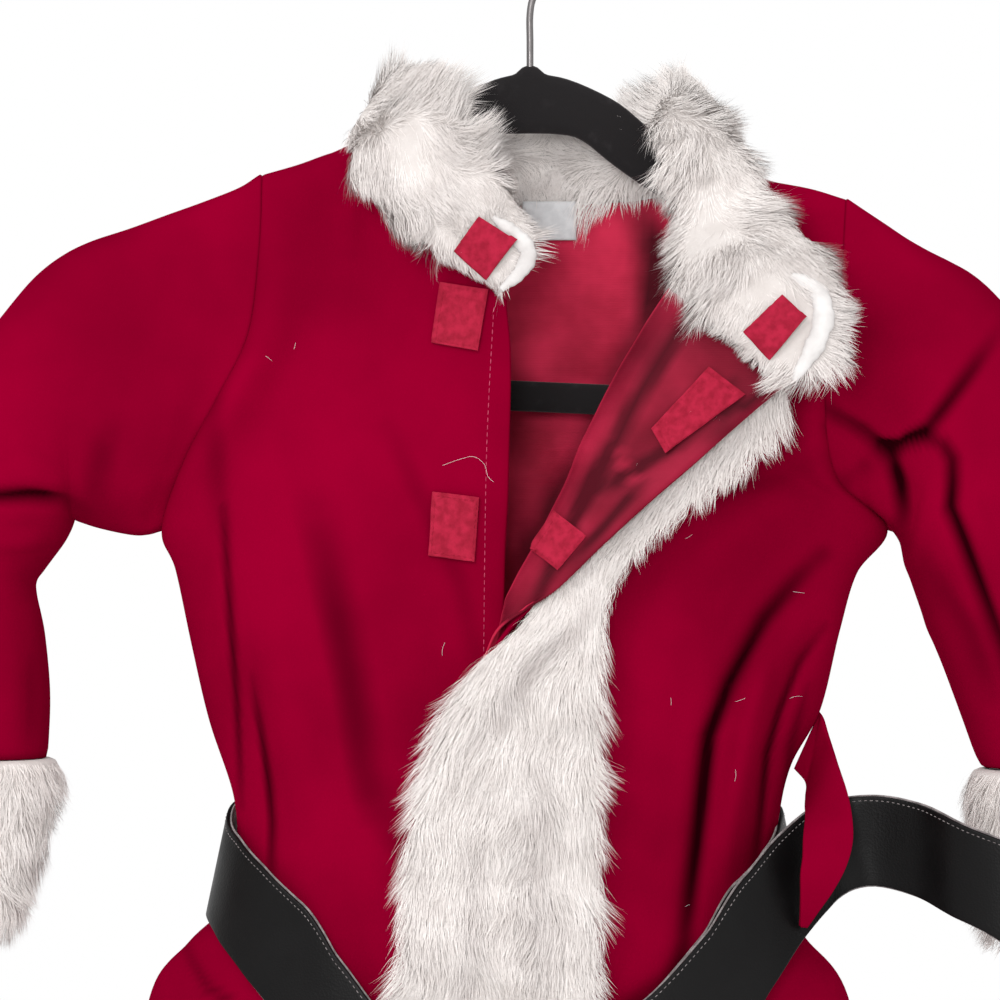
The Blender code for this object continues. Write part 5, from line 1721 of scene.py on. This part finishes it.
def make_cuff(name, end, seed):
    """A cuff's padded ground and its fur, from the last ring of a sleeve."""
    centre = end.mean(axis=0)
    lean, narrow = CUFF_SWEEP[name]
    spread = end - centre
    way = spread / np.linalg.norm(spread, axis=1)[:, None]
    outer, inner = [], []
    for share, pile, wall in through(CUFF, CUFF_ROWS):
        down = np.array([lean * share, 0.0, -CUFF_GAP[name] - CUFF_LENGTH * share])
        size = 1 - (1 - narrow) * share
        outer.append(centre + spread * size + way * pile + down)
        inner.append(centre + spread * size - way * wall + down)
    outer, inner = np.array(outer), np.array(inner)
    points = np.vstack([outer.reshape(-1, 3), inner.reshape(-1, 3)])
    faces = skin_faces(CUFF_ROWS, outer.shape[1], True)
    ground = face_out(new_piece(name + "_ground", points, faces, FUR_GROUND))
    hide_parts(name)
    loop = np.concatenate([outer, outer[:, :1]], axis=1)
    place, normal, _, _, _, draw = sow(loop, outer, CUFF_STRANDS[name], seed)
    flow = unit(GRAVITY + normal * 0.15)
    fur = grow_fur(name + "_fur", place, normal, flow, CUFF_PILE, CUFF_LIFT, 0.5, draw)
    return ground, fur


cuff_right_ground, cuff_right_fur = make_cuff("cuff_right", right_rings[-1], 71)
cuff_left_ground, cuff_left_fur = make_cuff("cuff_left", left_rings[-1], 73)
print("cuff strands:", CUFF_STRANDS)

# %% [markdown]
# ## Small parts
# Patches of hook-and-loop tape lie on the cloth, and a blank woven label hangs in the neck.
# Each patch is cut from the surface under it: its points are dropped on that surface from the
# front, then lifted off by the tape's thickness. A flat card laid across would hang in the air
# wherever the cloth curves away.

# %% Patches and label
PAD = 1.6               # a patch's wall
PAD_LIFT = 0.5          # its back stands off the cloth by this much
FUR_PAD_LIFT = {"collar_pad_right": 1.2, "collar_pad_left": 0.6}
PATCH_STEPS = 28
SMOOTHINGS = 6
LOOP_PAD_UPPER = ((-37.5, -175), (-17.5, -178.5), (-22, -204.5), (-41.5, -201))
LOOP_PAD_LOWER = ((-41, -263.5), (-21.5, -266), (-23.5, -293), (-43, -290.5))
HOOK_PAD_UPPER = ((73.5, -212), (88.5, -223.5), (55.5, -248), (49.5, -237.5))
HOOK_PAD_LOWER = ((10.5, -272), (22.5, -281.5), (11, -296), (0, -287.5))


def smoothed(level):
    """A grid of heights, each eased towards its neighbours' again and again."""
    for _ in range(SMOOTHINGS):
        padded = np.pad(level, 1, mode="edge")
        level = (padded[:-2, 1:-1] + padded[2:, 1:-1] + padded[1:-1, :-2] + padded[1:-1, 2:]
                 + 2 * level) / 6
    return level


def make_patch(name, corners, under, lift):
    """A patch of tape with four corners, lying on a piece."""
    tree = search_tree(under)
    c = [np.array(k, float) for k in corners]
    grid = np.zeros((PATCH_STEPS, PATCH_STEPS, 3))
    shares = edged(PATCH_STEPS)
    for i, s in enumerate(shares):
        for j, t in enumerate(shares):
            x, z = (1 - s) * ((1 - t) * c[0] + t * c[1]) + s * ((1 - t) * c[3] + t * c[2])
            grid[i, j] = (x, front_depth(tree, x, z), z)
    level = grid[:, :, 1]
    level[np.isnan(level)] = np.nanmean(level)
    grid[:, :, 1] = np.minimum(smoothed(level), level)
    n = normals(grid)
    n *= np.where(n[:, :, 1:2] > 0, -1, 1)
    centre = grid + n * (lift + PAD / 2)
    piece = face_out(cloth_piece(name + "_tape", centre, PAD, TAPE, shares))
    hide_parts(name)
    return piece


patches = [
    make_patch("loop_pad_upper", LOOP_PAD_UPPER, front_right, PAD_LIFT),
    make_patch("loop_pad_lower", LOOP_PAD_LOWER, front_right, PAD_LIFT),
    make_patch("hook_pad_upper", HOOK_PAD_UPPER, left_lining, PAD_LIFT),
    make_patch("hook_pad_lower", HOOK_PAD_LOWER, left_lining, PAD_LIFT),
]
solid_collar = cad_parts["collar"]
for name, corners in (("collar_pad_right", COLLAR_PAD_RIGHT), ("collar_pad_left", COLLAR_PAD_LEFT)):
    patches.append(make_patch(name, corners, solid_collar, FUR_PAD_LIFT[name]))
# Half the label's width, its y and its z, from its sewn edge down.
LABEL_ROWS = ((11.5, 22.5, -137), (11.8, 21.6, -143), (11.8, 21.0, -149), (11.8, 20.8, -154))
LABEL_X = 8.5
LABEL_WALL = 0.8
LABEL_STEPS = 24
LABEL_WAVE = 0.25
label_line = through(LABEL_ROWS, LABEL_STEPS)
label_grid = np.array([[(LABEL_X + half * s, y + LABEL_WAVE * math.cos(3 * s + z / 6), z)
                        for s in np.linspace(-1, 1, LABEL_STEPS)] for half, y, z in label_line])
label = face_out(cloth_piece("label_cloth", label_grid, LABEL_WALL, LABEL_CLOTH))
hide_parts("label")
print("patches:", len(patches))

# %% [markdown]
# ## Belt
# The belt is a strip of vinyl on a cloth backing, cut with raw edges. It is a flat section
# swept along a line that goes round the body and over itself, leaning a little where the
# skirt flares below it. Wrapping a flat strip onto the jacket by a modifier would pull it into
# every fold, while a real belt is stiff enough to bridge them.

# %% Belt and its loop
BELT_HEIGHT = 38.0
BELT_WALL = 1.8
BELT_LEAN = 12.0        # degrees
BELT_FREE = 145.0       # past this x the end hangs free and doesn't lean
BELT_EASE = 20.0
BELT_RINGS = 320
LOOP_RINGS = 90
LOOP_WALL = 1.8
BELT = (
    (12, -75, -510),
    (49, -71, -495),
    (75.5, -59, -472.5),
    (92, -44, -451),
    (103.5, -27, -437.5),
    (111, -6, -427),
    (110.5, 14, -418),
    (87, 36, -411),
    (40, 44, -408),
    (-13, 46, -406),
    (-66, 44, -403.5),
    (-96.5, 37, -405.5),
    (-115, 26, -410),
    (-127, 13, -415),
    (-134, -1, -423.5),
    (-128.5, -18, -432.5),
    (-116.5, -34, -445),
    (-101.5, -46, -460.5),
    (-84.5, -59, -482.5),
    (-64, -70, -502.5),
    (-41, -79, -512),
    (-13, -82, -513.5),
    (11.5, -81, -510),
    (49, -77, -494),
    (76.5, -66, -471),
    (95.5, -51, -447.5),
    (111, -35, -429.5),
    (127.5, -22, -416.5),
    (144.5, -19, -412),
    (163, -28, -415),
    (178, -43, -422),
    (196, -53, -430),
    (220.5, -56, -444),
)
LOOP = (
    (113.5, 0, -382.5, 124.5, 0, -358),
    (119, 1, -389, 125.5, -2, -360),
    (118.5, -6, -394.5, 127.5, -6, -367.5),
    (117, -21, -398, 130.5, -18, -378.5),
    (116, -32, -402, 134, -27, -390),
    (114.5, -40, -409, 135.5, -35, -400),
    (114, -44, -416.5, 135.5, -38, -411),
    (113, -46, -423.5, 132.5, -41, -421),
    (113, -46, -431.5, 127, -42, -431),
    (113, -45, -439, 120.5, -42, -440),
    (113, -42, -446, 116, -40, -446.5),
)


STRIP_SHARES = np.concatenate([[-1, -0.996, -0.985], np.linspace(-0.96, 0.96, 15),
                               [0.985, 0.996, 1]])
STRIP_EDGE = 0.03       # share of a strip's half width over which its edge is rounded
STRIP_THIN = 0.35       # share of its wall left at the very edge


def strip_piece(name, path, cross, normal, wall, finish):
    """Flat strip with soft edges: its middle line, half its width as a vector, and its normal."""
    shares = STRIP_SHARES
    near = np.clip((np.abs(shares) - (1 - STRIP_EDGE)) / STRIP_EDGE, 0, 1)
    thin = STRIP_THIN + (1 - STRIP_THIN) * np.sqrt(np.clip(1 - near ** 2, 0, 1))
    rings = []
    for p, h, n in zip(path, cross, normal):
        front = [p + h * s + n * wall / 2 * t for s, t in zip(shares, thin)]
        rear = [p + h * s - n * wall / 2 * t for s, t in zip(shares[::-1], thin[::-1])]
        rings.append(front + rear)
    return closed_band(name, np.array(rings), finish)


def belt_line(count):
    """Middle line, upright half heights and outward normals of a belt wrapped round a body."""
    path = at_shares(BELT, np.linspace(0, 1, count))
    along = np.gradient(path, axis=0)
    cross, normal = [], []
    previous = None
    for p, t in zip(path, along):
        level = np.hypot(t[0], t[1])
        outside = np.array([t[1], -t[0], 0.0]) / level
        if previous is None:
            outside *= np.sign(np.dot(outside, p))
        elif np.dot(outside, previous) < 0:
            outside = -outside
        previous = outside
        lean = math.radians(BELT_LEAN) * min(1.0, max(0.0, (BELT_FREE - p[0]) / BELT_EASE))
        up = np.array([0, 0, math.cos(lean)]) - outside * math.sin(lean)
        n = np.cross(up, t)
        normal.append(n / np.linalg.norm(n))
        cross.append(up * BELT_HEIGHT / 2 * math.hypot(1.0, t[2] / level))
    return path, np.array(cross), np.array(normal)


path, cross, normal = belt_line(BELT_RINGS)
belt = strip_piece("belt_strap", path, cross, normal, BELT_WALL, VINYL)
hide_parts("belt")

loop_line = through(LOOP, LOOP_RINGS)
inner, outer = loop_line[:, :3], loop_line[:, 3:]
loop_middle, loop_half = 0.5 * (inner + outer), 0.5 * (outer - inner)
loop_normal = unit(np.cross(loop_half, np.gradient(loop_middle, axis=0)))
belt_loop = strip_piece("belt_loop_cloth", loop_middle, loop_half, loop_normal, LOOP_WALL, VELVET)
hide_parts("belt_loop")
print("belt length", round(float(np.linalg.norm(np.diff(path, axis=0), axis=1).sum())), "mm")

# %% [markdown]
# ## Sewing
# A line of stitches is a row of short threads that dip into the cloth at both ends. Each is
# dropped on the cloth under it. Loose threads and shed fibres lie on the pile the same way. A
# bump could draw the stitches, but it would have no thickness at the cloth's edge.

# %% Stitches
THREAD_SIDES = 5
SEAM_ROLL = 2.4         # a roll of velvet fills each side seam
SEAM_IN = 1.2
EDGE_PITCH = 3.1
PATCH_PITCH = 2.4
SHED_FIBRES = 20


def thread_mesh(name, lines, width, finish):
    """Thin tubes along lists of points, joined in one piece."""
    points, faces = [], []
    for line in lines:
        faces += band_faces(len(line), THREAD_SIDES, len(points))
        points += round_rings(np.array(line), width, THREAD_SIDES).reshape(-1, 3).tolist()
    piece = face_out(new_piece(name, points, faces, finish))
    return piece


def dropped(points, tree, above):
    """Points with x and z, laid on the front of the cloth under them."""
    laid = [(x, front_depth(tree, x, z) - above, z) for x, z in points]
    return np.array([row for row in laid if not np.isnan(row[1])])


STITCH_POINTS = 4
STITCH_DIP = 0.15       # a stitch's ends go this far into the cloth


def stitch_row(line, tree, pitch, share, above):
    """Stitches along a line on a cloth: each as long as a share of the pitch."""
    line = np.array(line, float)
    total = float(np.linalg.norm(np.diff(line, axis=0), axis=1).sum())
    rows = []
    for k in range(int(total / pitch)):
        start, end = k * pitch / total, (k + share) * pitch / total
        laid = dropped(at_shares(line, np.linspace(start, end, STITCH_POINTS)), tree, above)
        if len(laid) == STITCH_POINTS:
            laid[[0, -1], 1] += above + STITCH_DIP
            rows.append(laid)
    return rows


seam_lines = []
for table, inward in ((SIDE_RIGHT, 1), (SIDE_LEFT, -1)):
    fine_side = spline(table, np.linspace(6, LAST_ROW, 80))
    seam_lines.append([(x + inward * SEAM_IN, (front + rear) / 2, z)
                       for x, z, front, rear in fine_side])
side_seams = thread_mesh("side_seams", seam_lines, SEAM_ROLL, VELVET)

EDGE_STITCHES = ((-15.5, -186), (-17.6, -224), (-18.8, -258), (-19.6, -319), (-20.5, -420),
                 (-21, -600))
right_tree = search_tree(front_right)
edge_rows = stitch_row(EDGE_STITCHES, right_tree, EDGE_PITCH, 0.62, 0.12)
edge_threads = thread_mesh("edge_stitches", edge_rows, 0.42, THREAD)


def around(corners, inset):
    """A closed outline inside four corners."""
    c = np.array(corners, float)
    middle = c.mean(axis=0)
    inner = middle + (c - middle) * (1 - inset)
    return [tuple(inner[k % 4]) for k in range(5)]


pad_rows = []
sewn_corners = (LOOP_PAD_UPPER, LOOP_PAD_LOWER, HOOK_PAD_UPPER, HOOK_PAD_LOWER)
for patch_piece, corners in zip(patches, sewn_corners):
    tree = search_tree(patch_piece)
    outline = around(corners, 0.12)
    for start, end in zip(outline[:-1], outline[1:]):
        pad_rows += stitch_row((start, end), tree, PATCH_PITCH, 0.7, 0.08)
pad_threads = thread_mesh("patch_stitches", pad_rows, 0.34, TAPE)

LOOSE_THREAD = ((-37, -252.5), (-30, -250), (-24, -248.8), (-19.5, -252), (-18, -257),
                (-15.5, -259.5))
draw = np.random.default_rng(91)
fibres = [dropped(at_shares(LOOSE_THREAD, np.linspace(0, 1, 24)), right_tree, 0.7)]
left_tree = search_tree(front_left)
cloth_spans = ((right_tree, -130, -25), (left_tree, 45, 120))
for _ in range(SHED_FIBRES):
    tree, low, high = cloth_spans[int(draw.integers(0, 2))]
    x, z, turn = draw.uniform(low, high), draw.uniform(-480, -170), draw.uniform(0, math.pi)
    bend = draw.uniform(-0.6, 0.6)
    length = draw.uniform(2.0, 6.5)
    run = np.linspace(0, 1, 6)
    way = turn + bend * run
    path = np.stack([x + length * run * np.cos(way), z + length * run * np.sin(way)], axis=1)
    laid = dropped(path, tree, 0.25)
    if len(laid) == len(run) and np.ptp(laid[:, 1]) < 3:
        fibres.append(laid)
loose = thread_mesh("shed_fibres", fibres, 0.11, FUR)
print("stitches:", len(edge_rows) + len(pad_rows), "and loose threads:", len(fibres))

# %% [markdown]
# The vinyl is glued to a woven backing that shows as a pale line along its raw edges, and one
# row of stitches holds them together near the top edge. The backing is the belt's own strip
# again, a little wider and behind the vinyl, because a painted line couldn't fray past an edge.

# %% Belt's backing and edge stitches
BACKING_WALL = 0.7
BACKING_PROUD = 1.03    # the cloth frays a little past the vinyl
BELT_STEPS = 1900       # short enough that three steps make a stitch
STITCH_LEVEL = 0.90     # share of the belt's half height where they run
path, cross, normal = belt_line(BELT_RINGS)
behind = path + normal * (BELT_WALL / 2 + BACKING_WALL / 2 - 0.15)
backing = strip_piece("belt_backing", behind, cross * BACKING_PROUD, normal, BACKING_WALL, BACKING)
belt_rows = []
fine_path, fine_cross, fine_normal = belt_line(BELT_STEPS)
ground = fine_path + fine_cross * STITCH_LEVEL - fine_normal * (BELT_WALL / 2 + 0.08)
for start in range(0, len(ground) - STITCH_POINTS, STITCH_POINTS + 1):
    row = ground[start:start + STITCH_POINTS].copy()
    row[[0, -1]] += fine_normal[[start, start + STITCH_POINTS - 1]] * 0.3
    belt_rows.append(row)
belt_threads = thread_mesh("belt_stitches", belt_rows, 0.34, BACKING)
print("belt stitches:", len(belt_rows))

# %% [markdown]
# ## Hanger
# The hanger's solid already has the right outline, so its points are copied and smoothed once
# for the flocked surface, and the buckle is a copy whose edges are bevelled. Drawing either
# again could only drift from the solid. The hook is a bent wire, swept round along its line.

# %% Hanger and buckle
MERGE = 0.00005         # metres


def smoothed_copy(name, node, finish, levels):
    """A copy of a node's solid with larger faces, smooth shading and its own finish."""
    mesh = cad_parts[node].data.copy()
    mesh.name = name
    mesh.materials.clear()
    mesh.materials.append(finish)
    obj = placed(name, mesh)
    work = bmesh.new()
    work.from_mesh(mesh)
    bmesh.ops.remove_doubles(work, verts=work.verts, dist=MERGE)
    bmesh.ops.join_triangles(work, faces=work.faces, angle_face_threshold=0.6,
                             angle_shape_threshold=1.2)
    work.to_mesh(mesh)
    work.free()
    mesh.polygons.foreach_set("use_smooth", [True] * len(mesh.polygons))
    if levels:
        soft = obj.modifiers.new("soft", "SUBSURF")
        soft.levels = soft.render_levels = levels
    return obj


hanger = smoothed_copy("hanger_flocked", "hanger_body", FLOCK, 1)
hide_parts("hanger_body")

HOOK = ((0, -85), (0, -70), (0, -58), (2, -50), (9, -43), (17, -36), (21.5, -27), (21.5, -16),
        (16, -6), (8, -0.5), (0, 1.5), (-9, -0.2), (-17, -6), (-21.5, -15), (-22, -25), (-19, -34))
WIRE = 3.0
WIRE_RINGS = 90
WIRE_SIDES = 16
wire_line = np.insert(at_shares(HOOK, np.linspace(0, 1, WIRE_RINGS)), 1, 0.0, axis=1)
hook = closed_band("hook_wire_rod", round_rings(wire_line, WIRE, WIRE_SIDES), WIRE_STEEL)
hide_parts("hanger_hook")

BUCKLE_BEVEL = 0.0008   # metres
buckle = smoothed_copy("buckle_frame", "buckle", BUCKLE_BRASS, 0)
edge = buckle.modifiers.new("edge", "BEVEL")
edge.width = BUCKLE_BEVEL
edge.segments = 3
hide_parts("buckle")
wire_length = np.linalg.norm(np.diff(wire_line, axis=0), axis=1).sum()
print("the hook's wire is", round(float(wire_length)), "mm long")

# %% [markdown]
# ## Cloth facts
# Each cloth piece states the size it was cut to. Where a cut isn't a rectangle its area says so,
# and it is never more than the sheet that it comes from.

def surface_area(piece):
    """Half the area of a thin closed piece, in square metres."""
    mesh = piece.data
    areas = np.zeros(len(mesh.polygons))
    mesh.polygons.foreach_get("area", areas)
    return float(areas.sum()) / 2


def declare(piece, width, length):
    area = surface_area(piece)
    print(piece.name, "measures", round(area, 4), "of", round(width * length, 4))


declare(front_right, 0.19, 0.52)
declare(front_left, 0.24, 0.52)
declare(back, 0.36, 0.52)
declare(left_lining, 0.23, 0.50)
declare(back_lining, 0.35, 0.50)
declare(sleeve_right, 0.27, 0.30)
declare(sleeve_left, 0.27, 0.30)
declare(collar_ground, 0.075, 0.40)
declare(placket_ground, 0.09, 0.50)
declare(cuff_right_ground, 0.25, 0.075)
declare(cuff_left_ground, 0.25, 0.075)
under_patches = ("front_right_cloth", "front_right_cloth", "front_left_satin", "front_left_satin",
                 "collar_ground", "collar_ground")
for patch_piece, cloth_under in zip(patches, under_patches):
    declare(patch_piece, 0.021, 0.032)
declare(label, 0.024, 0.018)
declare(belt, 0.038, 1.20)
declare(belt_loop, 0.019, 0.11)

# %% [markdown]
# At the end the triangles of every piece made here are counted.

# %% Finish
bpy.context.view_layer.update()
solids = set(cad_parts.values())
made = [o.data for o in bpy.data.objects if o.type == "MESH" and o not in solids]
print("triangles made:", sum(len(p.vertices) - 2 for mesh in made for p in mesh.polygons))
